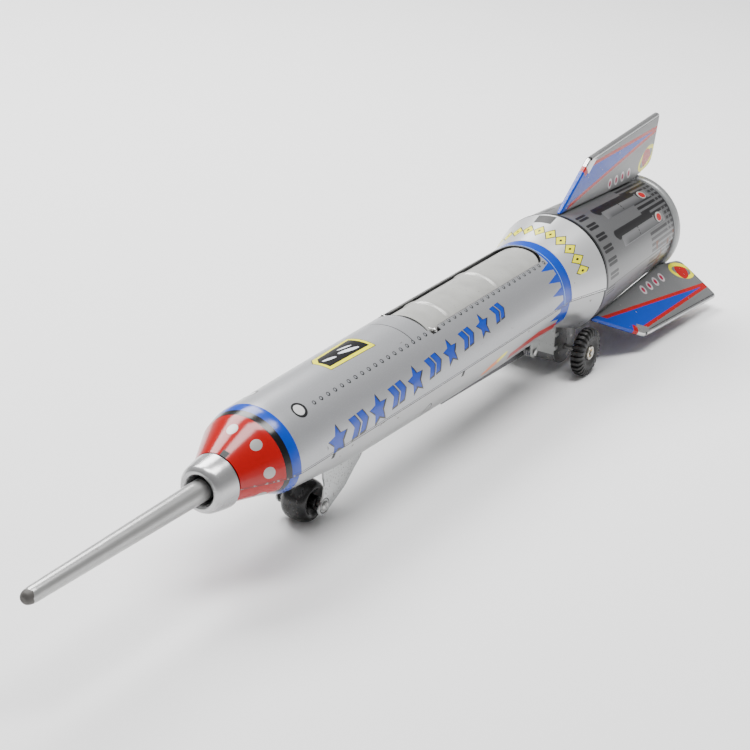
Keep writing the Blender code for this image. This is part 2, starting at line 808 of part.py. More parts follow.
def build_front_wheel(wheel_look, pin_look):
    at = (0.0, FRONT_AXLE, FRONT_AXLE_HEIGHT)
    half = FRONT_WHEEL_HALF
    radius = FRONT_WHEEL_RADIUS
    right = [
        (radius, 0.28 * half),
        (radius - 0.3 * MM, 0.58 * half),
        (radius - 1.0 * MM, 0.85 * half),
        (radius - 2.0 * MM, half),
        (radius - 2.8 * MM, half),
        (2.6 * MM, 0.5 * half),
        (2.6 * MM, half + 1.4 * MM),
        (FRONT_PIN_RADIUS + RUNNING, half + 1.4 * MM),
    ]
    profile = right + [(r, -x) for r, x in right[::-1]]
    finish(turned("front_wheel", profile, at=at, turn=FACE_X, steps=32), wheel_look, 50.0)
    face = FORK_X + PLATE / 2 + GAP
    head = [(0.0, face + 0.8 * MM), (1.4 * MM, face + 0.6 * MM), (2.0 * MM, face)]
    head.append((FRONT_PIN_RADIUS, face))
    pin = head + [(r, -x) for r, x in head[::-1]]
    finish(turned("front_axle", pin, at=at, turn=FACE_X, steps=24), pin_look)


def arm_side():
    """Side view of the arm about its pivot: a long strip with a round end at the pivot."""
    front = ARM_FRONT - ARM_PIVOT
    low = ARM_FRONT_HEIGHT - ARM_PIVOT_HEIGHT
    rear = ARM_REAR_HEIGHT - ARM_PIVOT_HEIGHT
    top = low + ARM_FLANGE
    nose = arc((front + 2 * MM, top - 2 * MM), 2 * MM, 180.0, 90.0, 4)
    return [(front, low), *nose, *arc((0.0, 0.0), -rear, 80.0, -90.0, 10)]


def build_arm(look):
    """Channel-section arm that swings down from the belly to stand the rocket up."""
    at = (0.0, ARM_PIVOT, ARM_PIVOT_HEIGHT)
    mesh = outline_mesh("erecting_arm", [arm_side()], 2 * ARM_HALF)
    made = add("erecting_arm", mesh, at=at, turn=SIDE_ON)
    front = ARM_FRONT - ARM_PIVOT
    low = ARM_FRONT_HEIGHT - ARM_PIVOT_HEIGHT + PLATE
    rear = ARM_REAR_HEIGHT - ARM_PIVOT_HEIGHT + PLATE
    trough = [(front - MM, low), (0.0, rear), (8 * MM, rear), (8 * MM, 9 * MM), (front - MM, 9 * MM)]
    inner = outline_mesh("arm_trough", [trough], 2 * (ARM_HALF - PLATE))
    cut(made, add("arm_trough", inner, False, at, SIDE_ON))
    cut(made, rod("arm_bore", ARM_PIN_RADIUS + RUNNING, -12 * MM, 12 * MM, at, parts=False))
    return finish(made, look)


def build_arm_bracket(inside, look):
    """Bridge inside the belly with an ear each side that carries the arm's pin."""
    low = ARM_PIVOT - 4.0 * MM
    high = ARM_PIVOT + 4.0 * MM
    wide = BODY_RADIUS
    made = block("arm_bracket", (-wide, low, -14.6 * MM), (wide, high, -14.6 * MM + PLATE))
    boolean(made, inside, "INTERSECT")
    side = [(low, -14.2 * MM), *arc((ARM_PIVOT, ARM_PIVOT_HEIGHT), 2.6 * MM, 180.0, 360.0, 8)]
    side.append((high, -14.2 * MM))
    for number, x in enumerate((-ARM_EAR_X, ARM_EAR_X)):
        mesh = outline_mesh(f"ear_{number}", [side], PLATE)
        join(made, add(f"ear_{number}", mesh, False, (x, 0.0, 0.0), SIDE_ON))
    at = (0.0, ARM_PIVOT, ARM_PIVOT_HEIGHT)
    cut(made, rod("ear_bore", ARM_PIN_RADIUS + GAP, -16 * MM, 16 * MM, at, parts=False))
    return finish(made, look)


def build_arm_pin_and_spring(pin_look, spring_look):
    at = (0.0, ARM_PIVOT, ARM_PIVOT_HEIGHT)
    end = ARM_EAR_X + PLATE / 2
    head = [(0.0, end + 1.0 * MM), (1.6 * MM, end + 1.0 * MM), (1.6 * MM, end + GAP)]
    head.append((ARM_PIN_RADIUS, end + GAP))
    profile = head + [(r, -x) for r, x in head[::-1]]
    finish(turned("arm_pin", profile, at=at, turn=FACE_X, steps=20), pin_look)
    start = ARM_HALF + GAP + 0.5 * MM
    stop = ARM_EAR_X - PLATE / 2 - GAP - 0.4 * MM
    points = torsion_points(ARM_COIL_RADIUS, start, stop, 4, 7.0 * MM, 4.0 * MM)
    mesh = tube_mesh("arm_spring", points, 0.35 * MM, 1)
    finish(add("arm_spring", mesh, at=at), spring_look, 60.0)


def motor_side():
    """Side view of the motor frame: straight sides and a half-round foot."""
    middle = (MOTOR_FRONT + MOTOR_REAR) / 2
    half = (MOTOR_REAR - MOTOR_FRONT) / 2
    foot = [
        (middle + half * math.cos(t), MOTOR_FOOT + MOTOR_DEPTH * math.sin(t))
        for t in angle_steps(180.0, 360.0, 16)
    ]
    return [(MOTOR_FRONT, MOTOR_TOP), *foot, (MOTOR_REAR, MOTOR_TOP)]


def motor_plate(name, x, shafts, look):
    """A motor frame plate with running holes for the shafts that it carries."""
    made = add(name, outline_mesh(name, [motor_side()], PLATE), at=(x, 0.0, 0.0), turn=SIDE_ON)
    for height, radius in shafts:
        at = (x, REAR_AXLE, height)
        drill = rod(f"{name}_{height:.4f}", radius + RUNNING, -2 * MM, 2 * MM, at, parts=False)
        cut(made, drill)
    return finish(made, look)


def build_motor_frame(plate_look, casing_look):
    axle = (REAR_AXLE_HEIGHT, REAR_AXLE_RADIUS)
    lay = (LAY_SHAFT_HEIGHT, SHAFT_RADIUS)
    fly = (FLY_SHAFT_HEIGHT, SHAFT_RADIUS)
    outer = MOTOR_HALF - PLATE / 2
    motor_plate("motor_plate_starboard", -outer, (axle, lay, fly), plate_look)
    motor_plate("motor_plate_port", outer, (axle, fly), plate_look)
    middle = motor_plate("motor_plate_middle", MID_PLATE_X, (lay, fly), plate_look)
    edge = GAP + SHEET
    over_axle = REAR_AXLE_HEIGHT + REAR_AXLE_RADIUS + 2 * GAP
    low = (-MOTOR_HALF, MOTOR_FRONT + edge, over_axle)
    high = (MOTOR_HALF, MOTOR_REAR - edge, MOTOR_TOP - GAP)
    boolean(middle, block("middle_trim", low, high, parts=False), "INTERSECT")

    wing = MOTOR_HALF + 2.0 * MM
    right = [(MOTOR_HALF, MOTOR_FOOT - 1.4 * MM), (MOTOR_HALF, -10 * MM), (wing, -10 * MM)]
    right.append((wing, MOTOR_TOP))
    face = right + [(-x, height) for x, height in right[::-1]]
    front = add("motor_front", outline_mesh("motor_front", [face], SHEET), turn=(math.pi / 2, 0, 0))
    front.location = (0.0, MOTOR_FRONT - GAP - SHEET / 2, 0.0)
    finish(front, plate_look)

    inner = MOTOR_HALF - PLATE - GAP
    rear = block(
        "motor_rear",
        (-inner, MOTOR_REAR - SHEET, MOTOR_FOOT),
        (inner, MOTOR_REAR, MOTOR_TOP),
    )
    finish(rear, plate_look)
    centre = (MOTOR_FRONT + MOTOR_REAR) / 2
    half = (MOTOR_REAR - MOTOR_FRONT) / 2

    def foot(_, angle):
        return (half * math.sin(angle), MOTOR_DEPTH * math.cos(angle))

    angles = angle_steps(94.0, 266.0, 18)
    mesh = sheet_mesh("motor_casing", [-inner, inner], angles, foot)
    casing = add("motor_casing", mesh, at=(0.0, centre, MOTOR_FOOT))
    casing.rotation_euler = (0.0, 0.0, -math.pi / 2)
    modifier(casing, "SOLIDIFY", thickness=SHEET, offset=-1.0, use_even_offset=True)
    finish(casing, casing_look)


def gear_outline(teeth, phase):
    """Trapezoid teeth on a pitch circle, phase in teeth."""
    radius = GEAR_MODULE * teeth / 2
    root = radius - 1.2 * GEAR_MODULE
    tip = radius + 0.8 * GEAR_MODULE
    points = []
    for tooth in range(teeth):
        for share, reach in ((-0.25, root), (-0.12, tip), (0.12, tip), (0.25, root)):
            angle = 2 * math.pi * (tooth + share + phase) / teeth
            points.append((reach * math.cos(angle), reach * math.sin(angle)))
    return points


def gear_mesh(name, teeth, phase, low, high):
    """A toothed wheel on the X axis between low and high, first tooth pointing up at phase 0."""
    points = [(-y, x) for x, y in gear_outline(teeth, phase)]
    mesh = outline_mesh(name, [points], high - low)
    for vert in mesh.vertices:
        station, height, along = vert.co
        vert.co = (along + (low + high) / 2, station, height)
    return mesh


def build_gears(wheel_look, pinion_look, steel_look):
    """Axle wheel, lay shaft and flywheel shaft, meshed straight above each other."""
    axle_at = (0.0, REAR_AXLE, REAR_AXLE_HEIGHT)
    lay_at = (0.0, REAR_AXLE, LAY_SHAFT_HEIGHT)
    fly_at = (0.0, REAR_AXLE, FLY_SHAFT_HEIGHT)
    wheel_x = (-10.5 * MM, -7.5 * MM)
    second_x = (-5.0 * MM, -2.0 * MM)
    reach = 0.5 * MM

    gear = add("axle_gear", gear_mesh("axle_gear", WHEEL_TEETH, 0.0, *wheel_x), at=axle_at)
    bore = REAR_AXLE_RADIUS + GAP
    cut(gear, rod("axle_gear_bore", bore, -14 * MM, 0.0, axle_at, parts=False))
    finish(gear, wheel_look)

    below = 0.5 if PINION_TEETH % 2 == 0 else 0.0
    pinion = gear_mesh("lay_pinion", PINION_TEETH, below, wheel_x[0] - reach, wheel_x[1] + reach)
    lay = add("lay_gear", gear_mesh("lay_gear", WHEEL_TEETH, 0.0, *second_x), at=lay_at)
    join(lay, add("lay_pinion", pinion, False, lay_at))
    end = MOTOR_HALF + 0.3 * MM
    shaft = rod(
        "lay_shaft", SHAFT_RADIUS, -end, MID_PLATE_X + PLATE / 2 + 0.3 * MM, lay_at, parts=False
    )
    join(lay, shaft)
    finish(lay, pinion_look)

    fly = rod("flywheel_shaft", SHAFT_RADIUS, -end, end, fly_at)
    teeth = gear_mesh("fly_pinion", PINION_TEETH, below, second_x[0] - reach, second_x[1] + reach)
    join(fly, add("fly_pinion", teeth, False, fly_at))
    finish(fly, pinion_look)

    low, high = FLYWHEEL_X
    inner = SHAFT_RADIUS + GAP
    profile = [
        (inner, low),
        (FLYWHEEL_RADIUS, low),
        (FLYWHEEL_RADIUS, high),
        (5.0 * MM, high),
        (5.0 * MM, high - 1.5 * MM),
        (inner, high - 1.5 * MM),
    ]
    finish(turned("flywheel", profile, at=fly_at, turn=FACE_X, steps=28), steel_look)


def build_rear_wheels(axle_look, hub_look, tyre_look):
    at = (0.0, REAR_AXLE, REAR_AXLE_HEIGHT)
    low, high = TYRE_X
    finish(rod("rear_axle", REAR_AXLE_RADIUS, -high - 0.6 * MM, high + 0.6 * MM, at), axle_look)
    bore = REAR_AXLE_RADIUS + GAP
    radius = REAR_WHEEL_RADIUS
    inner = HUB_RADIUS + GAP
    hub = [
        (bore, low - 1.2 * MM),
        (HUB_RADIUS - 0.8 * MM, low - 1.2 * MM),
        (HUB_RADIUS, low - 0.4 * MM),
        (HUB_RADIUS, high - 0.2 * MM),
        (HUB_RADIUS - 0.6 * MM, high + 0.1 * MM),
        (bore, high - 0.5 * MM),
    ]
    tyre = [
        (inner, low + 0.5 * MM),
        (6.5 * MM, low),
        (radius - 1.8 * MM, low),
        (radius - 0.5 * MM, low + 0.9 * MM),
        (radius, low + 1.9 * MM),
        (radius, high - 1.9 * MM),
        (radius - 0.5 * MM, high - 0.9 * MM),
        (radius - 1.8 * MM, high),
        (6.5 * MM, high),
        (inner, high - 0.5 * MM),
    ]
    for name, side in (("port", 1), ("starboard", -1)):
        for part, profile, look in (("hub", hub, hub_look), ("tyre", tyre, tyre_look)):
            places = [(r, side * x) for r, x in profile]
            made = turned(f"{part}_{name}", places, at=at, turn=FACE_X, steps=32)
            finish(made, look)


def fin_outline(root_drop, inset=0.0, open_root=0.0):
    """Side view of a fin, (station, radius), less an inset all round and past its root if open."""
    start = BODY_LENGTH + FLARE_LENGTH
    gap = GAP - root_drop - open_root
    corners = [
        (DRUM_START + 1.0 * MM, drum_radius(DRUM_START + 1.0 * MM) + gap),
        (start + FIN_SHOULDER[0], FIN_SHOULDER[1]),
        (start + FIN_TIP[0], FIN_TIP[1]),
        (start + FIN_HEEL[0], FIN_HEEL[1]),
        (start + FIN_ROOT_END, drum_radius(start + FIN_ROOT_END) + gap),
    ]
    if inset == 0.0:
        return corners
    middle = Vector((sum(x for x, _ in corners) / 5, sum(y for _, y in corners) / 5))
    shrunk = []
    for corner in corners:
        reach = Vector(corner) - middle
        shrunk.append(tuple(middle + reach * (1 - 2.5 * inset / reach.length)))
    shrunk[0] = (shrunk[0][0] + 6.0 * MM, corners[0][1] - 3.0 * MM)
    shrunk[-1] = (shrunk[-1][0], corners[-1][1] - 3.0 * MM)
    return shrunk


def build_fins(look):
    """Folded tin fins, hollow and open along the root, set round the drum."""
    for name, angle in FIN_ANGLES.items():
        drop = 0.0 if angle == 0.0 else LAP
        roll = Matrix.Rotation(math.radians(angle), 4, "Y") @ Euler(SIDE_ON).to_matrix().to_4x4()
        made = add(name, outline_mesh(name, [fin_outline(drop)], FIN_THICKNESS))
        made.matrix_basis = roll
        modifier(made, "BEVEL", width=0.9 * MM, segments=2, limit_method="ANGLE")
        inner = FIN_THICKNESS - 2 * FIN_SHEET
        hollow = outline_mesh(name + "_hollow", [fin_outline(drop, FIN_SHEET)], inner)
        room = add(name + "_hollow", hollow, parts=False)
        room.matrix_basis = roll
        cut(made, room)
        finish(made, look, 50.0)


clear_scene()
PARTS = collection("tin_space_rocket")
CUTTERS = collection("cutters")
AXIS = bpy.data.objects.new("rocket_axis", None)
PARTS.objects.link(AXIS)
AXIS.location = (0.0, -(OVERALL_FRONT + OVERALL_REAR) / 2, AXIS_HEIGHT)

BLUE_SILVER = material("body_lithographed_tin", (0.62, 0.66, 0.70), 0.3, 0.6)
BELLY_TIN = material("belly_silver_tin", (0.66, 0.66, 0.64), 0.35, 0.6)
COLLAR_TIN = material("collar_silver_tin", (0.48, 0.48, 0.49), 0.4, 0.5)
DRUM_TIN = material("drum_lithographed_tin", (0.58, 0.60, 0.62), 0.32, 0.6)
GRAY_TIN = material("gray_tin", (0.45, 0.46, 0.46), 0.4, 0.5)
HATCH_TIN = material("hatch_white_tin", (0.80, 0.79, 0.75), 0.4, 0.1)
FIN_TIN = material("fin_lithographed_tin", (0.60, 0.61, 0.62), 0.32, 0.4)
PROBE_PLASTIC = material("probe_gray_plastic", (0.42, 0.41, 0.38), 0.5, 0.0)
BARE_STEEL = material("bare_steel", (0.55, 0.55, 0.54), 0.35, 1.0)
SPRING_STEEL = material("spring_steel", (0.30, 0.30, 0.31), 0.35, 1.0)
PLATED_BRASS = material("gear_brass", (0.60, 0.45, 0.20), 0.35, 1.0)
LEAD_GRAY = material("flywheel_iron", (0.25, 0.25, 0.26), 0.5, 1.0)
RUBBER = material("black_rubber", (0.02, 0.02, 0.02), 0.7, 0.0)
DARK_TIN = material("dark_steel", (0.12, 0.12, 0.13), 0.45, 0.8)

INSIDE_UPPER, INSIDE_LOWER = build_interiors()
NOTCHES = build_notches()
build_upper_shell(NOTCHES, BLUE_SILVER)
build_lower_shell(BELLY_TIN)
build_drum(DRUM_TIN, DRUM_TIN)
build_tail(GRAY_TIN)
build_collar(COLLAR_TIN)
build_probe(PROBE_PLASTIC)
build_probe_spring(SPRING_STEEL)
build_trigger_rod(SPRING_STEEL)
bulkhead("nose_bulkhead", NOSE_BULKHEAD, BORE_RADIUS + SHEET + GAP, INSIDE_LOWER, BARE_STEEL)
bulkhead("spring_bulkhead", SPRING_BULKHEAD, SHANK_RADIUS + RUNNING, INSIDE_LOWER, BARE_STEEL)
build_hatch_frame(INSIDE_UPPER, NOTCHES, DARK_TIN)
build_hatch(HATCH_TIN)
build_hatch_pin(BARE_STEEL)
build_hatch_spring(SPRING_STEEL)
build_fork(BARE_STEEL)
build_front_wheel(RUBBER, BARE_STEEL)
build_arm(DARK_TIN)
build_arm_bracket(INSIDE_LOWER, BARE_STEEL)
build_arm_pin_and_spring(BARE_STEEL, SPRING_STEEL)
build_motor_frame(BARE_STEEL, DARK_TIN)
build_gears(PLATED_BRASS, BARE_STEEL, LEAD_GRAY)
build_rear_wheels(BARE_STEEL, BARE_STEEL, RUBBER)
build_fins(FIN_TIN)
CUTTERS.hide_render = True
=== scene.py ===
import math

import bmesh
import bpy
from mathutils import Matrix, Vector


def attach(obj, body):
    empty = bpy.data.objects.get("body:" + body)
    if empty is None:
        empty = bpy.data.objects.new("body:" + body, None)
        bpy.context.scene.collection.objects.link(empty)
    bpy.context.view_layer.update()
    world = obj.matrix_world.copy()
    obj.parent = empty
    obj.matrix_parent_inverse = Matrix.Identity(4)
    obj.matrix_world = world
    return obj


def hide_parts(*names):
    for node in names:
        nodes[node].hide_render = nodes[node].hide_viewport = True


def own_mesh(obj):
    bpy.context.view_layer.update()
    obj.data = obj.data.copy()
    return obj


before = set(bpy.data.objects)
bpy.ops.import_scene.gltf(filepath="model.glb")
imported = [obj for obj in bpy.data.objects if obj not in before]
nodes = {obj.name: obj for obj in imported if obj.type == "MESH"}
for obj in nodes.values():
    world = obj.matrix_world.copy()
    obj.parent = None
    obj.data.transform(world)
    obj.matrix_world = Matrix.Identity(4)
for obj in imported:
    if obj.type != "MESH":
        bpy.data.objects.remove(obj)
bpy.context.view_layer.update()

# ---------------------------------------------------------------------------------------------
# The studio: a pale seamless floor under two wide soft lights, in a world that is white at the
# horizon and dim overhead, so that the painted tin keeps its contrast.
# ---------------------------------------------------------------------------------------------

DEG = math.pi / 180
HORIZON = 0.95
ZENITH = 0.25


def studio_world():
    world = bpy.data.worlds.new("studio_world")
    world.use_nodes = True
    tree = world.node_tree
    tree.nodes["Background"].inputs["Color"].default_value = (1.0, 1.0, 1.0, 1.0)
    place = tree.nodes.new("ShaderNodeTexCoord")
    split = tree.nodes.new("ShaderNodeSeparateXYZ")
    ramp = tree.nodes.new("ShaderNodeMapRange")
    tree.links.new(place.outputs["Generated"], split.inputs[0])
    tree.links.new(split.outputs["Z"], ramp.inputs["Value"])
    ramp.inputs["From Min"].default_value = 0.0
    ramp.inputs["From Max"].default_value = 0.3
    ramp.inputs["To Min"].default_value = HORIZON
    ramp.inputs["To Max"].default_value = ZENITH
    tree.links.new(ramp.outputs[0], tree.nodes["Background"].inputs["Strength"])
    bpy.context.scene.world = world


def area_light(name, place, target, size, power):
    light = bpy.data.lights.new(name, "AREA")
    light.shape = "RECTANGLE"
    light.size, light.size_y = size
    light.energy = power
    made = bpy.data.objects.new(name, light)
    bpy.context.scene.collection.objects.link(made)
    made.location = place
    made.rotation_euler = (Vector(target) - Vector(place)).to_track_quat("-Z", "Y").to_euler()


studio_world()
area_light("key_light", (-0.75, 0.35, 1.0), (0.0, 0.0, 0.03), (0.9, 0.6), 28.0)
area_light("top_light", (0.1, 0.1, 1.3), (0.0, 0.0, 0.03), (0.4, 1.1), 24.0)

camera = bpy.data.objects.new("camera", bpy.data.cameras.new("camera"))
bpy.context.scene.collection.objects.link(camera)
camera.data.sensor_width = 36.0
camera.data.lens = 89.8
camera.data.clip_start = 0.01
camera.matrix_world = Matrix(
    (
        (0.84631, -0.24842, 0.47121, 0.3406),
        (0.53110, 0.32460, -0.78270, -0.5920),
        (0.04147, 0.91263, 0.40667, 0.3358),
        (0.0, 0.0, 0.0, 1.0),
    )
)
bpy.context.scene.camera = camera


# Shader maths on sockets, and a paint that is built up in layers of print.

class Value:
    """A shader socket that can be used in sums and comparisons."""

    def __init__(self, tree, source):
        self.tree = tree
        self.source = source

    def math(self, operation, first, *others):
        node = self.tree.nodes.new("ShaderNodeMath")
        node.operation = operation
        for socket, value in zip(node.inputs, (first, *others)):
            if isinstance(value, Value):
                self.tree.links.new(value.source, socket)
            else:
                socket.default_value = value
        return Value(self.tree, node.outputs[0])

    def __add__(self, other):
        return self.math("ADD", self, other)

    def __radd__(self, other):
        return self.math("ADD", other, self)

    def __sub__(self, other):
        return self.math("SUBTRACT", self, other)

    def __rsub__(self, other):
        return self.math("SUBTRACT", other, self)

    def __mul__(self, other):
        return self.math("MULTIPLY", self, other)

    def __rmul__(self, other):
        return self.math("MULTIPLY", other, self)

    def __truediv__(self, other):
        return self.math("DIVIDE", self, other)

    def __rtruediv__(self, other):
        return self.math("DIVIDE", other, self)

    def __gt__(self, other):
        return self.math("GREATER_THAN", self, other)

    def __lt__(self, other):
        return self.math("LESS_THAN", self, other)

    def __and__(self, other):
        return self.math("MULTIPLY", self, other)

    def __or__(self, other):
        return self.math("MAXIMUM", self, other)

    def __abs__(self):
        return self.math("ABSOLUTE", self)

    def root(self):
        return self.math("SQRT", self, 0.5)

    def wrapped(self, pitch):
        """Distance to the nearest whole multiple of the pitch, with its sign."""
        return self.math("WRAP", self, pitch / 2, -pitch / 2)

    def clamped(self, low=0.0, high=1.0):
        return self.math("MINIMUM", self.math("MAXIMUM", self, low), high)

    def within(self, low, high):
        return (self > low) & (self < high)


class Paint:
    """A Principled material whose colour, roughness and metal are layered by masks."""

    def __init__(self, name, colour, rough=0.4, metal=0.0, coat=0.0):
        self.material = bpy.data.materials.new(name)
        self.material.use_nodes = True
        self.tree = self.material.node_tree
        self.shader = self.tree.nodes["Principled BSDF"]
        self.shader.inputs["Coat Weight"].default_value = coat
        self.shader.inputs["Coat Roughness"].default_value = 0.12
        self.colour = (*colour, 1.0)
        self.rough = rough
        self.metal = metal
        self.height = None
        place = self.node("ShaderNodeTexCoord").outputs["Object"]
        self.place = place
        split = self.node("ShaderNodeSeparateXYZ", {}, {"Vector": place})
        x, y, z = (Value(self.tree, split.outputs[axis]) for axis in "XYZ")
        self.x = x * 1000
        self.s = y * 1000 + STATION
        self.h = z * 1000 - AXIS_HEIGHT

    def node(self, kind, settings=None, sockets=None):
        made = self.tree.nodes.new(kind)
        for key, value in (settings or {}).items():
            setattr(made, key, value)
        for key, value in (sockets or {}).items():
            self.plug(value, made.inputs[key])
        return made

    def plug(self, value, socket):
        if isinstance(value, Value):
            value = value.source
        if isinstance(value, bpy.types.NodeSocket):
            self.tree.links.new(value, socket)
        else:
            socket.default_value = value

    def value(self, socket):
        return Value(self.tree, socket)

    def angle(self):
        """Degrees round the body from the top, positive to port."""
        return self.x.math("ARCTAN2", self.x, self.h) / DEG

    def noise(self, size, detail=3.0, stretch=(1.0, 1.0, 1.0)):
        """Noise from 0 to 1 with features of about that size in millimetres."""
        scaled = self.node(
            "ShaderNodeMapping", {}, {"Vector": self.place, "Scale": stretch}
        ).outputs[0]
        made = self.node(
            "ShaderNodeTexNoise", {}, {"Vector": scaled, "Scale": 1000.0 / size, "Detail": detail}
        )
        return self.value(made.outputs[0])

    def blend(self, mask, below, above, kind):
        settings = {"data_type": kind}
        made = self.node("ShaderNodeMix", settings)
        index = {"FLOAT": (2, 3, 0), "RGBA": (6, 7, 2)}[kind]
        self.plug(mask, made.inputs[0])
        self.plug(below, made.inputs[index[0]])
        self.plug(above, made.inputs[index[1]])
        return made.outputs[index[2]]

    def layer(self, mask, colour=None, rough=None, metal=None):
        if colour is not None:
            if not isinstance(colour, bpy.types.NodeSocket):
                colour = (*colour, 1.0)
            self.colour = self.blend(mask, self.colour, colour, "RGBA")
        if rough is not None:
            self.rough = self.blend(mask, self.rough, rough, "FLOAT")
        if metal is not None:
            self.metal = self.blend(mask, self.metal, metal, "FLOAT")
        return self

    def shade(self, amount, factor):
        """Darkens the colour by a share of a 0 to 1 value."""
        keep = 1.0 - amount * factor
        made = self.node("ShaderNodeVectorMath", {"operation": "SCALE"})
        colour = self.colour[:3] if isinstance(self.colour, tuple) else self.colour
        self.plug(colour, made.inputs[0])
        self.plug(keep, made.inputs["Scale"])
        self.colour = made.outputs[0]
        return self

    def raise_by(self, height):
        """Adds to the relief, in millimetres."""
        self.height = height if self.height is None else self.height + height
        return self

    def done(self):
        for key, value in (
            ("Base Color", self.colour),
            ("Roughness", self.rough),
            ("Metallic", self.metal),
        ):
            self.plug(value, self.shader.inputs[key])
        if self.height is not None:
            bump = self.node(
                "ShaderNodeBump", {}, {"Strength": 1.0, "Distance": 0.001, "Height": self.height}
            )
            self.plug(bump.outputs[0], self.shader.inputs["Normal"])
        return self.material


# The rocket's own axes: x to port, s back from the nose ring and h up from the axis, in mm.
STATION = 106.0
AXIS_HEIGHT = 38.5

floor_paint = Paint("studio_floor", (0.93, 0.93, 0.93), 0.9)
floor_paint.shade(floor_paint.noise(60.0), 0.02)
bpy.ops.mesh.primitive_plane_add(size=12.0)
floor = bpy.context.object
floor.name = "studio_floor"
floor.data.materials.append(floor_paint.done())


# ---------------------------------------------------------------------------------------------
# Shapes. Every piece is built where it stands, from points given as (x, s, h) in millimetres.
# ---------------------------------------------------------------------------------------------

def new_object(name, verts, faces):
    mesh = bpy.data.meshes.new(name)
    places = [(x / 1000, (s - STATION) / 1000, (h + AXIS_HEIGHT) / 1000) for x, s, h in verts]
    mesh.from_pydata(places, [], faces)
    made = bpy.data.objects.new(name, mesh)
    bpy.context.scene.collection.objects.link(made)
    clean(made)
    return made


def clean(made):
    work = bmesh.new()
    work.from_mesh(made.data)
    bmesh.ops.remove_doubles(work, verts=work.verts, dist=0.0000005)
    bmesh.ops.dissolve_degenerate(work, edges=work.edges, dist=0.0000001)
    bmesh.ops.recalc_face_normals(work, faces=work.faces)
    work.to_mesh(made.data)
    work.free()


def grid(name, rows, wrap=False):
    """A surface through rows of points; wrap joins each row's end to its start."""
    count = len(rows[0])
    verts = [point for row in rows for point in row]
    faces = []
    for i in range(len(rows) - 1):
        for j in range(count if wrap else count - 1):
            k = (j + 1) % count
            faces.append((i * count + j, i * count + k, (i + 1) * count + k, (i + 1) * count + j))
    return new_object(name, verts, faces)


def settle(made):
    """Applies the modifiers."""
    graph = bpy.context.evaluated_depsgraph_get()
    mesh = bpy.data.meshes.new_from_object(made.evaluated_get(graph))
    made.modifiers.clear()
    made.data = mesh
    return made


def sheet(made, thickness):
    """Gives an open surface its metal thickness, inwards."""
    grown = made.modifiers.new("sheet", "SOLIDIFY")
    grown.thickness = thickness / 1000
    grown.offset = -1.0
    grown.use_even_offset = True
    return settle(made)


def combine(made, others, operation):
    for other in others:
        step = made.modifiers.new("step", "BOOLEAN")
        step.object = other
        step.operation = operation
        step.solver = "EXACT"
    settle(made)
    for other in others:
        bpy.data.objects.remove(other, do_unlink=True)
    return made


def soften(made, width, segments=2, limit=35.0):
    edge = made.modifiers.new("edge", "BEVEL")
    edge.width = width / 1000
    edge.segments = segments
    edge.limit_method = "ANGLE"
    edge.angle_limit = limit * DEG
    edge.harden_normals = False
    return settle(made)


def finish(made, paint, body, replaced=(), sharp=32.0):
    made.data.materials.clear()
    made.data.materials.append(paint)
    made.data.shade_smooth()
    made.data.set_sharp_from_angle(angle=sharp * DEG)
    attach(made, body)
    if replaced:
        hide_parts(*replaced)
    return made


def lathe(name, profile, at=None, steps=96):
    """A turned piece from an outline of (radius, along), on the rocket's axis or across it at (s, h)."""
    rows = []
    for i in range(steps + 1):
        turn = 2 * math.pi * i / steps
        across, up = math.sin(turn), math.cos(turn)
        if at is None:
            rows.append([(r * across, along, r * up) for r, along in profile])
        else:
            rows.append([(along, at[0] + r * across, at[1] + r * up) for r, along in profile])
    rows[-1] = rows[0]
    return grid(name, rows, wrap=True)


def turned_sheet(points, thickness):
    """The closed outline of a sheet of that thickness on the right of an open line."""
    inner = []
    for i, point in enumerate(points):
        here = Vector(point)
        before = (here - Vector(points[i - 1])).normalized() if i else None
        after = (Vector(points[i + 1]) - here).normalized() if i + 1 < len(points) else None
        along = ((before or after) + (after or before)).normalized()
        side = Vector((along.y, -along.x))
        lean = side.dot(Vector(((after or before).y, -(after or before).x)))
        inner.append(tuple(here + side * thickness / max(lean, 0.5)))
    return list(points) + inner[::-1]


def rounded(points, radius, steps=5):
    """An open line with its corners replaced by arcs that start that far from each corner."""
    out = [points[0]]
    for before, corner, after in zip(points, points[1:], points[2:]):
        corner = Vector(corner)
        into = Vector(before) - corner
        away = Vector(after) - corner
        reach = min(radius, into.length * 0.49, away.length * 0.49)
        start = corner + into.normalized() * reach
        end = corner + away.normalized() * reach
        for i in range(steps + 1):
            t = i / steps
            out.append(tuple(start.lerp(corner, t).lerp(corner.lerp(end, t), t)))
    out.append(points[-1])
    return out


def blank(name, rows):
    """A solid between two like outlines."""
    count = len(rows[0])
    faces = [tuple(range(count))[::-1], tuple(range(count, 2 * count))]
    for j in range(count):
        k = (j + 1) % count
        faces.append((j, k, count + k, count + j))
    return new_object(name, rows[0] + rows[1], faces)


def prism(name, outline, low, high, axis="x"):
    """A flat outline carried from low to high: points are (s, h) along x, or (x, s) along h."""
    if axis == "x":
        return blank(name, [[(side, s, h) for s, h in outline] for side in (low, high)])
    return blank(name, [[(x, s, side) for x, s in outline] for side in (low, high)])


def arc(centre, radius, start, end, steps):
    turns = [(start + (end - start) * i / steps) * DEG for i in range(steps + 1)]
    return [(centre[0] + radius * math.cos(t), centre[1] + radius * math.sin(t)) for t in turns]


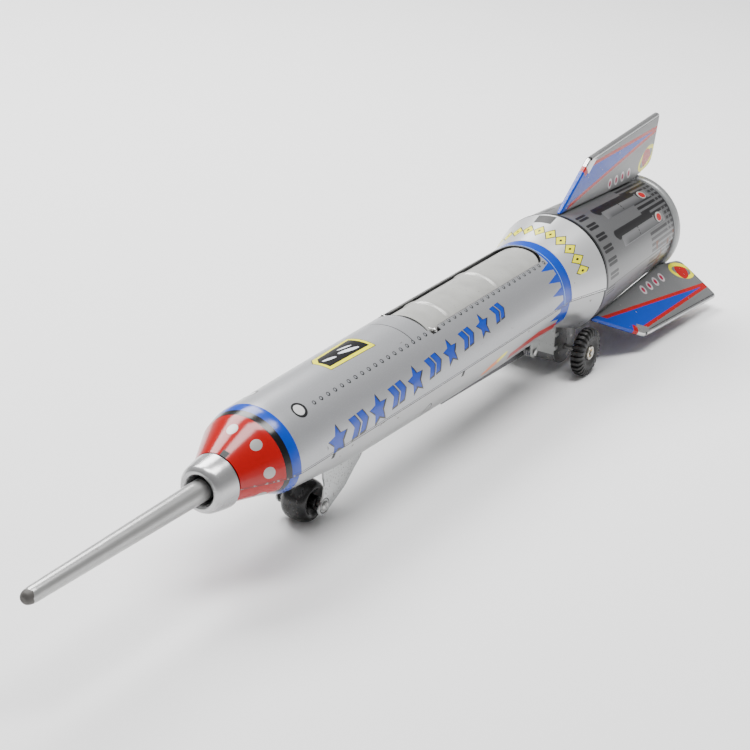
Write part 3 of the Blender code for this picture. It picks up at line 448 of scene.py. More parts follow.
def tube(name, points, radius, sides=12):
    """A round wire through points (x, s, h), with closed ends."""
    line = [Vector(point) for point in points]
    rows = []
    across = None
    for i, here in enumerate(line):
        along = (line[min(i + 1, len(line) - 1)] - line[max(i - 1, 0)]).normalized()
        if across is None:
            across = along.orthogonal()
        across = (across - along * across.dot(along)).normalized()
        other = along.cross(across)
        ring = [2 * math.pi * k / sides for k in range(sides)]
        rows.append([tuple(here + (across * math.cos(t) + other * math.sin(t)) * radius) for t in ring])
    verts = [point for row in rows for point in row]
    faces = [tuple(range(sides)), tuple(range(len(verts) - sides, len(verts)))]
    for i in range(len(rows) - 1):
        for j in range(sides):
            k = (j + 1) % sides
            faces.append((i * sides + j, i * sides + k, (i + 1) * sides + k, (i + 1) * sides + j))
    return new_object(name, verts, faces)


def between(table, x):
    if x <= table[0][0]:
        return table[0][1]
    for (x0, v0), (x1, v1) in zip(table, table[1:]):
        if x <= x1:
            return v0 + (v1 - v0) * (x - x0) / (x1 - x0)
    return table[-1][1]


def steps_between(start, end, count):
    return [start + (end - start) * i / count for i in range(count + 1)]


# Paint colours of the lithography
SILVER = (0.38, 0.385, 0.40)
BLUE = (0.0, 0.045, 0.40)
RED = (0.40, 0.002, 0.002)
YELLOW = (0.86, 0.80, 0.0)
BLACK = (0.003, 0.003, 0.004)
INK = (0.005, 0.005, 0.006)
SPOT = (0.42, 0.42, 0.41)


def length(u, v):
    return (u * u + v * v).root()


def disc(u, v, radius):
    return (u * u + v * v) < radius * radius


def ring(u, v, radius, width):
    return disc(u, v, radius + width / 2) & (disc(u, v, radius - width / 2) < 0.5)


def star(u, v, outer, inner):
    """A five-pointed star that points along +v."""
    turn = u.math("ARCTAN2", u, v)
    folded = abs(turn.wrapped(72 * DEG))
    reach = length(u, v)
    along = reach * u.math("COSINE", folded)
    across = reach * u.math("SINE", folded)
    notch = (inner * math.cos(36 * DEG), inner * math.sin(36 * DEG))
    return ((along - outer) * notch[1] - across * (notch[0] - outer)) < 0.0


def capsule(u, v, half, radius):
    """A bar along u with round ends."""
    past = (abs(u) - half).clamped(0.0, 1000.0)
    return (past * past + v * v) < radius * radius


def nose_bands(paint):
    """Red cone with one row of silver spots, then black and blue rings."""
    s = paint.s
    red = s < SHOULDER
    paint.layer(red, RED, 0.16, 0.0)
    angle = paint.angle()
    spot = disc((angle + 3.0).wrapped(40.0) * 0.272, s + 12.8, 2.05) & (abs(angle + 43.0) > 15.0)
    paint.layer(red & spot, SPOT, 0.3, 0.3)
    paint.layer(s.within(SHOULDER, -4.4), BLACK, 0.2, 0.0)
    paint.layer(s.within(-4.4, 0.0), BLUE, 0.2, 0.0)


# ---------------------------------------------------------------------------------------------
# The body shells: two pressings of tinplate, printed flat with the rivets, window and bands and
# then drawn to shape. The upper one laps over the lower, and tabs along the seam hold them.
# ---------------------------------------------------------------------------------------------

BODY_RADIUS = 20.0
BODY_SWELL = 1.8
CONE_FRONT = -22.9
SHOULDER = -7.2
BODY_END = 206.0
FLARE_END = 229.0
FLARE_RADIUS = 28.0
UPPER_EDGE = 92.0
LOWER_EDGE = 84.0
LAP = 0.85
TIN_SHEET = 0.5
SLOT_HALF = 11.4
SLOT_FRONT = 98.9
SLOT_REAR = 199.0
SLOT_CORNER = 6.4
CONE = ((CONE_FRONT, 10.45), (SHOULDER, 18.5), (-4.32, 19.25), (-1.8, 19.805), (0.0, BODY_RADIUS))
BELLY = (
    (CONE_FRONT, 8.6),
    (-6.0, 10.6),
    (0.0, 13.6),
    (12.0, 15.2),
    (30.0, 17.6),
    (50.0, 19.4),
    (0.6 * BODY_END, 21.5),
    (0.75 * BODY_END, 22.0),
    (BODY_END, 21.4),
    (FLARE_END, FLARE_RADIUS - LAP),
)


def body_radius(s):
    if s <= 0.0:
        return between(CONE, s)
    if s <= BODY_END:
        return BODY_RADIUS + BODY_SWELL * (1 - (1 - s / BODY_END) ** 2)
    widest = BODY_RADIUS + BODY_SWELL
    return widest + (FLARE_RADIUS - widest) * (s - BODY_END) / (FLARE_END - BODY_END)


def body_rows(angles, radius, depth=None):
    stations = steps_between(CONE_FRONT, SHOULDER, 8) + steps_between(-6.5, 0.0, 7)[:-1]
    stations += steps_between(0.0, BODY_END, 60) + steps_between(BODY_END + 1.0, FLARE_END, 16)
    rows = []
    for s in stations:
        row = []
        for degrees in angles:
            across, up = math.sin(degrees * DEG), math.cos(degrees * DEG)
            below = depth(s) if depth and up < 0 else radius(s)
            row.append((radius(s) * across, s, below * up))
        rows.append(row)
    return rows


def slot_shape(half, front, rear, corner):
    right = arc((half - corner, rear - corner), corner, 0.0, 90.0, 12)
    left = arc((corner - half, rear - corner), corner, 90.0, 180.0, 12)
    return [(-half, front), (half, front)] + right + left


def box_piece(name, low, high):
    outline = [(low[1], low[2]), (high[1], low[2]), (high[1], high[2]), (low[1], high[2])]
    return prism(name, outline, low[0], high[0])


MARK_START = 23.0
MARK_PITCH = 13.6


def rear_band(paint, side):
    """The blue band at the foot of the flare, with rays that point forwards."""
    s = paint.s
    ray_v = (side - 41.0).wrapped(15.8) * 0.38
    ray = (abs(ray_v) < (s - 189.0) * 0.21) & s.within(189.0, 201.0) & side.within(33.0, 112.0)
    paint.layer(ray, BLUE, 0.25, 0.0)
    paint.layer(s.within(198.0, BODY_END + 0.2) & (side < 118.0), BLUE, 0.25, 0.0)


def body_print():
    """The printed silver body, with every figure placed by station and angle."""
    paint = Paint("body_print", SILVER, 0.34, 0.5)
    s = paint.s
    angle = paint.angle()
    side = abs(angle)
    arc_mm = 0.366
    paint.layer(paint.noise(0.35, 2.0) > 0.62, (0.44, 0.445, 0.46))
    over = side < 92.3

    nose_bands(paint)
    tab = (abs(s + 21.8) < 1.1) & (abs(angle - 14.0) < 7.0)
    paint.layer(tab, BLACK, 0.5, 0.0)

    # porthole ring and the two rows of printed rivets
    hole_u = s - 11.5
    hole_v = (side - 32.0) * arc_mm
    paint.layer(disc(hole_u, hole_v, 3.45) & over, INK, 0.3, 0.0)
    paint.layer(disc(hole_u + 0.15, hole_v + 0.1, 2.4) & over, (0.62, 0.62, 0.62), 0.3, 0.1)
    rivet_u = (s - 20.0).wrapped(4.5)
    rivet_v = (side - 33.5) * arc_mm
    row = s.within(18.0, 201.0)
    paint.layer(row & disc(rivet_u, rivet_v, 0.95), INK, 0.3, 0.0)
    paint.layer(row & disc(rivet_u + 0.1, rivet_v + 0.1, 0.55), (0.36, 0.37, 0.39), 0.3, 0.5)

    # cockpit window in a yellow frame
    along = s - 56.0
    across = (angle + 3.8) * arc_mm

    def window(grow):
        body = (abs(across) < 4.4 + along * 0.03 + grow) & (abs(along) < 12.8 + grow)
        clipped = (along + 13.0 + grow) > (-1.2 * across - 1.2 - grow)
        return body & clipped

    paint.layer(window(1.9), INK, 0.3, 0.0)
    paint.layer(window(1.6), YELLOW, 0.26, 0.0)
    paint.layer(window(0.0), INK, 0.2, 0.0)
    for centre, reach, lift, slim in ((3.4, 5.2, 1.5, 5.0), (4.6, 3.6, -1.2, 6.0), (-7.6, 3.4, 0.2, 4.0)):
        glint = disc(along - centre, (across - lift - (along - centre) * 0.25) * slim, reach)
        paint.layer(glint & window(0.0), (0.72, 0.74, 0.78), 0.3, 0.0)

    # panel line behind the window, stopping at the rivets
    paint.layer((abs(s - 88.0) < 0.22) & (side < 33.0), INK, 0.3, 0.0)

    # ten blue stars and chevrons in a slanting row down each side, shadowed in black
    size = 1.0 - (s - MARK_START) * 0.0019
    mark_v = (side - 79.5 + (s - MARK_START) * 0.2126) * arc_mm / size
    star_u = (s - MARK_START).wrapped(2 * MARK_PITCH) / size
    chevron_u = (s - MARK_START - MARK_PITCH).wrapped(2 * MARK_PITCH) / size
    row = s.within(MARK_START - MARK_PITCH / 2, MARK_START + 9.5 * MARK_PITCH)

    def marks(shift, grow):
        across = mark_v - shift
        lean = chevron_u - shift + abs(across) * 0.62
        bars = (abs(lean - 4.6) < 1.9 + grow) | (abs(lean + 0.9) < 1.9 + grow)
        bars = bars & (abs(across) < 4.1 + grow)
        point = star(star_u - shift, (across - 0.4) * -1.0, 5.9 + 2.2 * grow, 2.8 + 1.4 * grow)
        return row & (bars | point)

    paint.layer(marks(0.38, 0.42), INK, 0.3, 0.0)
    paint.layer(marks(0.0, 0.0), BLUE, 0.25, 0.0)

    rear_band(paint, side)
    paint.layer(abs(s - 199.6) < 0.22, (0.22, 0.40, 0.70), 0.3, 0.2)
    # The flare of the upper shell is painted near-white: a painted highlight for its lit face.
    paint.layer(s > BODY_END + 0.2, (0.60, 0.605, 0.61), 0.3, 0.4)

    # yellow lozenges and bars round the flare
    loz_u = (angle + 2.0).wrapped(13.0) * 0.43
    loz_v = s - 215.2
    row = side < 66.0
    paint.layer(row & ((abs(loz_u) * 1.45 + abs(loz_v)) < 4.2), INK, 0.3, 0.0)
    paint.layer(row & ((abs(loz_u) * 1.45 + abs(loz_v)) < 3.5), YELLOW, 0.28, 0.0)
    paint.layer(row & ((abs(loz_u) * 1.6 + abs(loz_v)) < 1.0), INK, 0.28, 0.0)
    slot = s.within(221.6, 227.6) & (angle > -16.0) & (angle < 2.5)
    paint.layer(slot, (0.012, 0.012, 0.012), 0.4, 0.1)
    # A black band at the flare's rear edge: painted shade in the gap before the drum.
    paint.layer(s > FLARE_END - 0.7, BLACK, 0.3, 0.2)

    # the seam: two dark lines, and rubbed metal beside it
    seam = ((abs(side - 91.6) < 0.45) | (abs(side - 89.6) < 0.3)) & over
    paint.layer(seam, (0.04, 0.04, 0.045), 0.5, 0.2)
    rubbed = ((abs(side - 92.0) < 2.6) & (paint.noise(1.6, 4.0) > 0.60)) | (
        paint.noise(2.2, 6.0, (1.0, 0.25, 1.0)) > 0.745
    )
    paint.layer(rubbed, (0.26, 0.255, 0.25), 0.45, 0.9)
    paint.raise_by(paint.noise(14.0, 2.0) * 0.05)
    paint.raise_by(s.within(SHOULDER, 0.0) * 0.03)
    return paint.done()


def belly_print():
    paint = Paint("belly_print", (0.44, 0.445, 0.45), 0.32, 0.6, coat=0.15)
    s = paint.s
    side = abs(paint.angle())
    arc_mm = 0.37
    nose_bands(paint)
    paint.layer(ring((s - 91.0) * 1.6, (side - 124.0) * arc_mm, 4.2, 0.7), INK, 0.35, 0.1)

    # a flame, a red stripe and the blue band's ends on each side
    flame_u = (s - 142.0) / 8.5
    flame_v = (side - 115.5 + (s - 142.0) * 0.75) * arc_mm / 1.8
    paint.layer(disc(flame_u, flame_v, 1.0), (0.80, 0.20, 0.03), 0.3, 0.0)
    paint.layer(disc((s - 148.0) / 4.0, flame_v * 1.5 + 0.1, 1.0), YELLOW, 0.3, 0.0)
    stripe = (side - 113.5 - abs(s - 180.0) * 0.28) * arc_mm
    paint.layer((abs(stripe) < 1.9) & s.within(156.0, 198.0), RED, 0.3, 0.0)
    rear_band(paint, side)
    # A black band at the flare's rear edge: painted shade in the gap before the drum.
    paint.layer(s > FLARE_END - 0.7, BLACK, 0.3, 0.2)
    for place in (21.6, 113.6):
        tab = (abs((s - place) + (side - 97.0) * 0.12) < 1.0) & (abs(side - 97.0) < 3.2)
        paint.layer(tab, (0.02, 0.02, 0.02), 0.6, 0.0)
    worn = paint.noise(3.0, 6.0, (1.0, 0.4, 1.0)) > 0.69
    paint.layer(worn, (0.26, 0.25, 0.24), 0.5, 0.9)
    paint.raise_by(paint.noise(9.0, 3.0) * 0.10)
    return paint.done()


SLOT = slot_shape(SLOT_HALF, SLOT_FRONT, SLOT_REAR, SLOT_CORNER)
HATCH_PIN = (103.6, 17.2)


def notch_boxes():
    """Cutters for the notch at each end of the hatch's pin."""
    made = []
    for side in (1, -1):
        near, far = sorted((side * 10.0, side * 13.1))
        low = (near, HATCH_PIN[0] - 3.0, HATCH_PIN[1] - 1.3)
        made.append(box_piece("notch", low, (far, HATCH_PIN[0] + 3.0, 24.0)))
    return made


BODY_PRINT = body_print()
BELLY_PRINT = belly_print()

upper = grid("body_top", body_rows(steps_between(-UPPER_EDGE, UPPER_EDGE, 92), body_radius))
sheet(upper, TIN_SHEET)
hatch_hole = prism("hatch_hole", SLOT, 10.0, 30.0, axis="h")
combine(upper, [hatch_hole, *notch_boxes()], "DIFFERENCE")
finish(upper, BODY_PRINT, "hull", ["upper_shell"])

under = steps_between(LOWER_EDGE, 360.0 - LOWER_EDGE, 84)
lower = grid(
    "body_belly", body_rows(under, lambda s: body_radius(s) - LAP, lambda s: between(BELLY, s))
)
sheet(lower, TIN_SHEET)
openings = [
    prism("belly_hole", slot_shape(14.5, 117.5, 166.5, 6.0), -32.0, -9.0, axis="h"),
    prism("arm_hole", slot_shape(8.9, 119.5, 199.0, 2.0), -31.0, -10.0, axis="h"),
    box_piece("ear_hole", (-14.2, 185.0, -32.0), (14.2, 198.0, -9.0)),
    box_piece("motor_hole", (-15.6, 204.9, -32.0), (15.6, 227.8, -9.0)),
]
for side in (1, -1):
    edges = sorted((side * 8.5, side * 10.1))
    openings.append(box_piece("fork_hole", (edges[0], 25.6, -32.0), (edges[1], 58.0, -6.0)))
combine(lower, openings, "DIFFERENCE")
finish(lower, BELLY_PRINT, "hull", ["lower_shell"])


# ---------------------------------------------------------------------------------------------
# The nose: a silver-painted tin cup drawn in one piece, tabbed to the cone, and the long probe
# that slides in it. Behind them a coil spring, two pressed bulkheads and the bent trigger wire.
# ---------------------------------------------------------------------------------------------

def worn_paint(name, colour, rough, metal, spots, wear=(0.30, 0.28, 0.26), coat=0.0, relief=0.06):
    """Plain lacquer or plating with mottling, fine speckle and rubbed patches."""
    paint = Paint(name, colour, rough, metal, coat)
    paint.shade(paint.noise(11.0, 4.0), 0.22)
    paint.layer(paint.noise(0.9, 3.0) > spots, tuple(0.6 * c for c in colour), rough + 0.12)
    paint.layer(paint.noise(2.6, 6.0, (1.0, 0.5, 1.0)) > spots + 0.03, wear, 0.5, min(1.0, metal + 0.3))
    paint.raise_by(paint.noise(7.0, 3.0) * relief)
    return paint.done()


def bare_metal(name, colour, rough, grain=0.8):
    """Bare or plated metal with a drawn grain and dull stains."""
    paint = Paint(name, colour, rough, 1.0)
    paint.layer(paint.noise(1.6, 5.0) > 0.60, tuple(0.55 * c for c in colour), rough + 0.2)
    paint.shade(paint.noise(grain, 2.0, (1.0, 0.12, 1.0)), 0.2)
    paint.raise_by(paint.noise(grain, 2.0, (1.0, 0.12, 1.0)) * 0.02)
    return paint.done()


def keep_node(name, paint):
    """A CAD node whose shape is right as it is, in this paint."""
    for slot in nodes[name].material_slots:
        slot.material = paint


COLLAR_PAINT = worn_paint("collar_paint", (0.50, 0.50, 0.505), 0.26, 0.7, 0.70, coat=0.2)
PROBE_PAINT = Paint("probe_paint", (0.44, 0.44, 0.435), 0.30, 0.6)
PROBE_PAINT.shade(PROBE_PAINT.noise(9.0, 4.0), 0.25)
PROBE_PAINT.layer(PROBE_PAINT.noise(1.4, 5.0, (1.0, 0.3, 1.0)) > 0.68, (0.24, 0.23, 0.22), 0.5, 0.3)
tip_wear = ((PROBE_PAINT.s * -1.0 - 117.0) / 4.0 + PROBE_PAINT.noise(2.0, 4.0) * 0.8) > 0.75
PROBE_PAINT.layer(tip_wear, (0.09, 0.085, 0.08), 0.6, 0.3)
# The length inside the collar is painted near-black: painted shade in the gap round the probe.
PROBE_PAINT.layer(PROBE_PAINT.s > -31.5, (0.10, 0.10, 0.10), 0.5, 0.6)
PROBE_PAINT = PROBE_PAINT.done()
SPRING_STEEL = bare_metal("spring_steel", (0.34, 0.34, 0.35), 0.3)
BARE_STEEL = bare_metal("bare_steel", (0.56, 0.56, 0.55), 0.3)
GALVANISED = worn_paint("galvanised_plate", (0.52, 0.53, 0.52), 0.42, 0.75, 0.66)
# Near-black tin for the erecting arm: painted shade, for the shadow it lies in under the belly.
ARM_SHADE_PAINT = worn_paint("dark_tin", (0.12, 0.12, 0.125), 0.42, 0.6, 0.66, (0.30, 0.29, 0.27))

collar_line = [
    (10.3, -23.4), (9.75, -27.6), (8.9, -31.6), (7.6, -33.15), (6.3, -33.1), (5.5, -31.9), (5.0, -29.6),
    (5.0, -11.7),
]
collar = lathe("nose_cup", turned_sheet(rounded(collar_line, 1.6), TIN_SHEET))
finish(collar, COLLAR_PAINT, "hull", ["nose_collar"])

probe_line = [(0.0, -121.0), (1.2, -120.95), (2.1, -120.2), (2.6, -118.8), (2.85, -116.6)]
probe_line += [(4.1, -33.2), (4.1, -11.4), (7.2, -11.4), (7.2, -9.4), (2.0, -9.4), (2.0, 20.0)]
probe = lathe("long_probe", rounded(probe_line, 0.45, 3) + [(0.0, 20.0)], steps=64)
finish(probe, PROBE_PAINT, "probe", ["nose_probe"], sharp=40.0)


def coil(radius, start, end, turns, per_turn=24):
    """Points of a coil about the rocket's axis, pitched closer at its ends."""
    points = []
    count = turns * per_turn
    for i in range(count + 1):
        share = i / count
        share -= 0.045 * math.sin(2 * math.pi * share)
        turn = 2 * math.pi * i / per_turn
        points.append((radius * math.cos(turn), start + (end - start) * share, radius * math.sin(turn)))
    return points


probe_spring = tube("probe_coil", coil(3.4, -8.6, 14.8, 9), 0.4)
finish(probe_spring, SPRING_STEEL, "hull", ["probe_spring"], sharp=60.0)
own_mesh(probe_spring)
keep_node("trigger_rod", SPRING_STEEL)
keep_node("nose_bulkhead", GALVANISED)
keep_node("spring_bulkhead", GALVANISED)


# ---------------------------------------------------------------------------------------------
# The hatch: a wall folded down round the slot, painted near-black as shade inside it, with a painted
# highlight on its rolled lip, and a long convex cover, pressed with two cross ribs, that swings on a
# wire pin with a ball on each end.
# ---------------------------------------------------------------------------------------------

HATCH_SHEET = 0.55
HATCH_CURVE = 16.0
WALL_FOOT = 12.5
RIBS = (118.6, 158.7)


def hatch_top(x, s):
    """Height of the cover's outer face: crowned across, with two pressed ribs and a turned edge."""
    height = body_radius(s) - 0.6 - (HATCH_CURVE - math.sqrt(HATCH_CURVE**2 - x * x))
    for rib in RIBS:
        away = abs(s - rib) / 1.5
        if away < 1.0:
            height += 0.6 * min(1.0, 1.6 * (1.0 - away))
    return height


def frame_wall():
    """The wall's section is carried round the slot: heights are from the body's skin, or its foot."""
    outline = SLOT + [SLOT[0]]
    path = []
    for before, after in zip(outline, outline[1:]):
        away = Vector(after) - Vector(before)
        pieces = max(1, int(away.length / 3.0))
        path += [tuple(Vector(before) + away * (i / pieces)) for i in range(pieces)]
    rows = []
    for i, (x, s) in enumerate(path):
        into = (Vector(path[i]) - Vector(path[i - 1])).normalized()
        away = (Vector(path[(i + 1) % len(path)]) - Vector(path[i])).normalized()
        along = (into + away).normalized()
        outward = Vector((along.y, -along.x)) / max(along.dot(away), 0.7)

        def at(offset, height):
            px, ps = x + outward.x * offset, s + outward.y * offset
            if height < WALL_FOOT:
                height += math.sqrt(body_radius(ps) ** 2 - px * px)
            return (px, ps, height)

        rows.append(
            [
                at(0.55, WALL_FOOT), at(0.55, -0.62), at(-0.02, -0.55), at(-0.02, 0.06),
                at(-0.10, 0.16), at(-0.22, 0.16), at(-0.30, 0.04), at(-0.30, -0.9),
                at(-0.02, -1.4), at(-0.02, WALL_FOOT),
            ]
        )
    rows.append(rows[0])
    return grid("hatch_wall", rows, wrap=True)


# The wall is painted near-black: painted shade down inside the slot.
wall_shade_paint = Paint("hatch_wall_shade_paint", (0.085, 0.085, 0.09), 0.4, 0.5)
wall_shade_paint.shade(wall_shade_paint.noise(6.0, 4.0), 0.4)
# Above the body's skin the rolled lip is painted light and metallic: a painted highlight.
reach = length(wall_shade_paint.x, wall_shade_paint.h)
lip_highlight = (reach - (wall_shade_paint.s / BODY_END * BODY_SWELL + BODY_RADIUS - 0.1)) > 0.0
wall_shade_paint.layer(lip_highlight, (0.52, 0.52, 0.53), 0.25, 0.9)
wall_shade_paint.layer(wall_shade_paint.noise(1.2, 5.0) > 0.66, (0.25, 0.24, 0.23), 0.5, 0.8)
wall = frame_wall()
combine(wall, notch_boxes(), "DIFFERENCE")
finish(wall, wall_shade_paint.done(), "hull", ["hatch_frame"])


def hatch_cover():
    stations = steps_between(99.9, 116.9, 10) + steps_between(117.1, 120.1, 10)
    stations += steps_between(121.0, 156.6, 20) + steps_between(157.2, 160.2, 10)
    stations += steps_between(161.0, SLOT_REAR, 24)
    sides = steps_between(-11.7, 11.7, 36)
    made = grid("hatch_plate", [[(x, s, hatch_top(x, s)) for x in sides] for s in stations])
    sheet(made, HATCH_SHEET)
    plan = prism("hatch_plan", slot_shape(11.0, 101.6, 197.8, 6.4), 0.0, 40.0, axis="h")
    combine(made, [plan], "INTERSECT")
    lugs = []
    for side in (1, -1):
        ends = (side * 5.9, side * 7.1)
        section = [(0.95, ends[0]), (1.9, ends[0]), (1.9, ends[1]), (0.95, ends[1])]
        lugs.append(lathe("lug", section, at=HATCH_PIN, steps=40))
    combine(made, lugs, "UNION")
    return made


cover_paint = Paint("hatch_paint", (0.50, 0.50, 0.475), 0.32, 0.15, coat=0.15)
cover_paint.shade(cover_paint.noise(7.0, 5.0), 0.34)
cover_paint.layer(cover_paint.noise(1.1, 4.0) > 0.68, (0.33, 0.33, 0.32), 0.5, 0.2)
cover_paint.layer(cover_paint.noise(1.7, 3.0, (1.0, 1.4, 1.0)) > 0.74, (0.05, 0.05, 0.05), 0.6, 0.3)
edge = (abs(cover_paint.x) + cover_paint.noise(2.2, 4.0) * 0.8) > 11.25
cover_paint.layer(edge, (0.30, 0.29, 0.28), 0.5, 0.6)
cover_paint.layer(cover_paint.h < 11.0, (0.25, 0.25, 0.26), 0.5, 0.6)
cover_paint.raise_by(cover_paint.noise(16.0, 2.0) * 0.35)
cover = hatch_cover()
finish(cover, cover_paint.done(), "hatch", ["hatch_cover"])

ball = [(math.sin(t) * 1.0, 11.9 - math.cos(t) * 1.0) for t in steps_between(math.pi, 0.78, 12)]
pin = lathe("hatch_pin_wire", ball + [(r, -x) for r, x in ball[::-1]], at=HATCH_PIN, steps=28)
finish(pin, BARE_STEEL, "hull", ["hatch_pin"], sharp=50.0)


def torsion_coil(at, radius, start, end, turns, wire, leg):
    """A coil about a cross pin, with a straight leg that leaves it forwards along its lowest side."""
    points = [(start, at[0] - leg, at[1] - radius)]
    for i in range(turns * 24 + 1):
        turn = 2 * math.pi * i / 24
        across = start + (end - start) * i / (turns * 24)
        points.append((across, at[0] + radius * math.sin(turn), at[1] - radius * math.cos(turn)))
    return tube("torsion_coil", points, wire)


def leg_of(at, radius, end, length, wire):
    low = at[1] - radius
    return tube("torsion_leg", [(end, at[0] - 0.2, low), (end, at[0] + length, low)], wire)


hatch_coil = torsion_coil(HATCH_PIN, 1.45, -2.6, 2.6, 5, 0.28, 2.0)
hatch_coil.name = "hatch_coil"
finish(hatch_coil, SPRING_STEEL, "hull", ["hatch_spring"], sharp=60.0)
hatch_leg = leg_of(HATCH_PIN, 1.45, 2.6, 7.0, 0.28)
hatch_leg.name = "hatch_coil_leg"
finish(hatch_leg, SPRING_STEEL, "hatch", (), sharp=60.0)


# ---------------------------------------------------------------------------------------------
# The front fork and wheel: a folded channel of tinned steel whose cheeks come down through slits
# in the belly, riveted over the axle, and a solid black moulded wheel with a deep cone each side.
# ---------------------------------------------------------------------------------------------

FRONT = (31.6, -30.0)
FORK_SHEET = 0.8
CHEEK = 9.3


def cheek_outline():
    front = [(30.2, -11.5), (30.2, -17.6), (31.6, -21.6), (30.6, -26.0)]
    boss = arc(FRONT, 4.0, 185.0, 325.0, 24)
    rear = [(45.5, -27.4), (51.4, -22.5), (57.0, -18.4), (57.0, -11.5)]
    return rounded(front, 1.2, 4) + boss + rounded([boss[-1]] + rear, 1.2, 4)[1:]


fork = prism("fork_channel", cheek_outline(), CHEEK - FORK_SHEET / 2, CHEEK + FORK_SHEET / 2)
other = prism("cheek", cheek_outline(), -CHEEK - FORK_SHEET / 2, -CHEEK + FORK_SHEET / 2)
roof = box_piece("roof", (-CHEEK - 0.3, 30.4, -11.9), (CHEEK + 0.3, 56.8, -11.0))
combine(fork, [other, roof], "UNION")
soften(fork, 0.16, 2)
tinned = Paint("tinned_fork", (0.50, 0.51, 0.51), 0.3, 0.9)
tinned.layer(tinned.noise(0.8, 5.0) > 0.60, (0.30, 0.30, 0.30), 0.5)
tinned.layer(tinned.noise(1.6, 5.0) > 0.66, (0.22, 0.21, 0.20), 0.6)
rivet_ring = ring(tinned.s - FRONT[0], tinned.h - FRONT[1], 2.9, 0.5)
tinned.layer(rivet_ring, (0.12, 0.12, 0.12), 0.5)
tinned.raise_by(ring(tinned.s - FRONT[0], tinned.h - FRONT[1], 3.4, 0.7) * 0.25)
tinned.raise_by(tinned.noise(3.0, 4.0) * 0.06)
TINNED = tinned.done()
finish(fork, TINNED, "hull", ["front_fork"])

wheel_line = [
    (1.3, 6.9), (2.4, 6.9), (2.7, 6.5), (2.75, 2.9), (5.3, 5.15), (5.9, 5.5), (6.7, 5.5), (7.6, 4.7),
    (8.2, 3.4), (8.5, 1.6),
]
wheel_line = rounded(wheel_line, 0.4, 3)
wheel = lathe("front_roller", wheel_line + [(r, -x) for r, x in wheel_line[::-1]], at=FRONT, steps=128)
rubber = Paint("black_wheel", (0.004, 0.004, 0.004), 0.22, 0.0)
rubber.layer(rubber.noise(3.5, 5.0), (0.008, 0.008, 0.008), 0.3)
tread = length(rubber.s - FRONT[0], rubber.h - FRONT[1]) > 8.124
dusty = tread & (rubber.noise(1.8, 5.0) > 0.58)
rubber.layer(dusty, (0.03, 0.029, 0.027), 0.5)
rubber.raise_by(rubber.noise(4.0, 3.0) * 0.03)
finish(wheel, rubber.done(), "front_wheel", ["front_wheel"])

head = [(0.0, 10.85), (0.9, 10.8), (1.6, 10.55), (2.0, 10.1), (2.0, 9.75), (1.0, 9.75)]
front_pin = lathe("front_rivet", head + [(r, -x) for r, x in head[::-1]], at=FRONT, steps=48)
finish(front_pin, BARE_STEEL, "hull", ["front_axle"], sharp=40.0)


# ---------------------------------------------------------------------------------------------
# The erecting arm: a dark channel under the belly on a cross pin through the bracket's ears, with
# a torsion spring on the port side. Freed by the trigger wire, it swings down behind the wheel.
# ---------------------------------------------------------------------------------------------

ARM = (190.0, -21.0)
# The arm is painted near-black: painted shade under the belly.
keep_node("erecting_arm", ARM_SHADE_PAINT)
keep_node("arm_bracket", GALVANISED)
arm_coil = torsion_coil(ARM, 2.2, 9.1, 12.2, 3, 0.35, 7.0)
arm_coil.name = "arm_coil"
finish(arm_coil, SPRING_STEEL, "hull", ["arm_spring"], sharp=60.0)
head = [(0.0, 14.9), (1.2, 14.85), (1.6, 14.5), (1.6, 14.1), (1.0, 14.1)]
arm_pin = lathe("arm_rivet", head + [(r, -x) for r, x in head[::-1]], at=ARM, steps=40)
finish(arm_pin, BARE_STEEL, "hull", ["arm_pin"], sharp=40.0)


# ---------------------------------------------------------------------------------------------
# The friction motor: two tinned side plates, a bright front plate with tabs bent round the port
# plate, and a rounded casing. Inside, the axle gear drives a lay shaft and a lead flywheel.
# ---------------------------------------------------------------------------------------------

REAR = (218.0, -27.5)
MOTOR = (207.5, 227.5)
PLATE_SHEET = 0.8


def motor_outline(grow=0.0):
    middle = sum(MOTOR) / 2
    half = (MOTOR[1] - MOTOR[0]) / 2 + grow
    foot = [
        (middle + half * math.cos(turn * DEG), -26.5 + (8.3 + grow) * math.sin(turn * DEG))
        for turn in steps_between(180.0, 360.0, 40)
    ]
    return [(MOTOR[0] - grow, 4.0), *foot, (MOTOR[1] + grow, 4.0)]


def round_cutter(at, radius, low, high):
    return lathe("drill", [(0.0, low), (radius, low), (radius, high), (0.0, high)], at=at, steps=32)


def motor_side(name, x, shafts):
    made = prism(name, motor_outline(), x - PLATE_SHEET / 2, x + PLATE_SHEET / 2)
    holes = [round_cutter((REAR[0], h), r + 0.3, x - 2.0, x + 2.0) for h, r in shafts]
    combine(made, holes, "DIFFERENCE")
    return soften(made, 0.12, 2)


PLATE_PAINT = worn_paint("motor_plate", (0.22, 0.22, 0.22), 0.42, 0.8, 0.62, (0.45, 0.44, 0.42))
port_plate = motor_side("motor_side_port", 14.6, ((-27.5, 1.0), (-13.5, 0.9)))
finish(port_plate, PLATE_PAINT, "hull", ["motor_plate_port"])
starboard_plate = motor_side(
    "motor_side_starboard", -14.6, ((-27.5, 1.0), (-20.5, 0.9), (-13.5, 0.9))
)
finish(starboard_plate, PLATE_PAINT, "hull", ["motor_plate_starboard"])

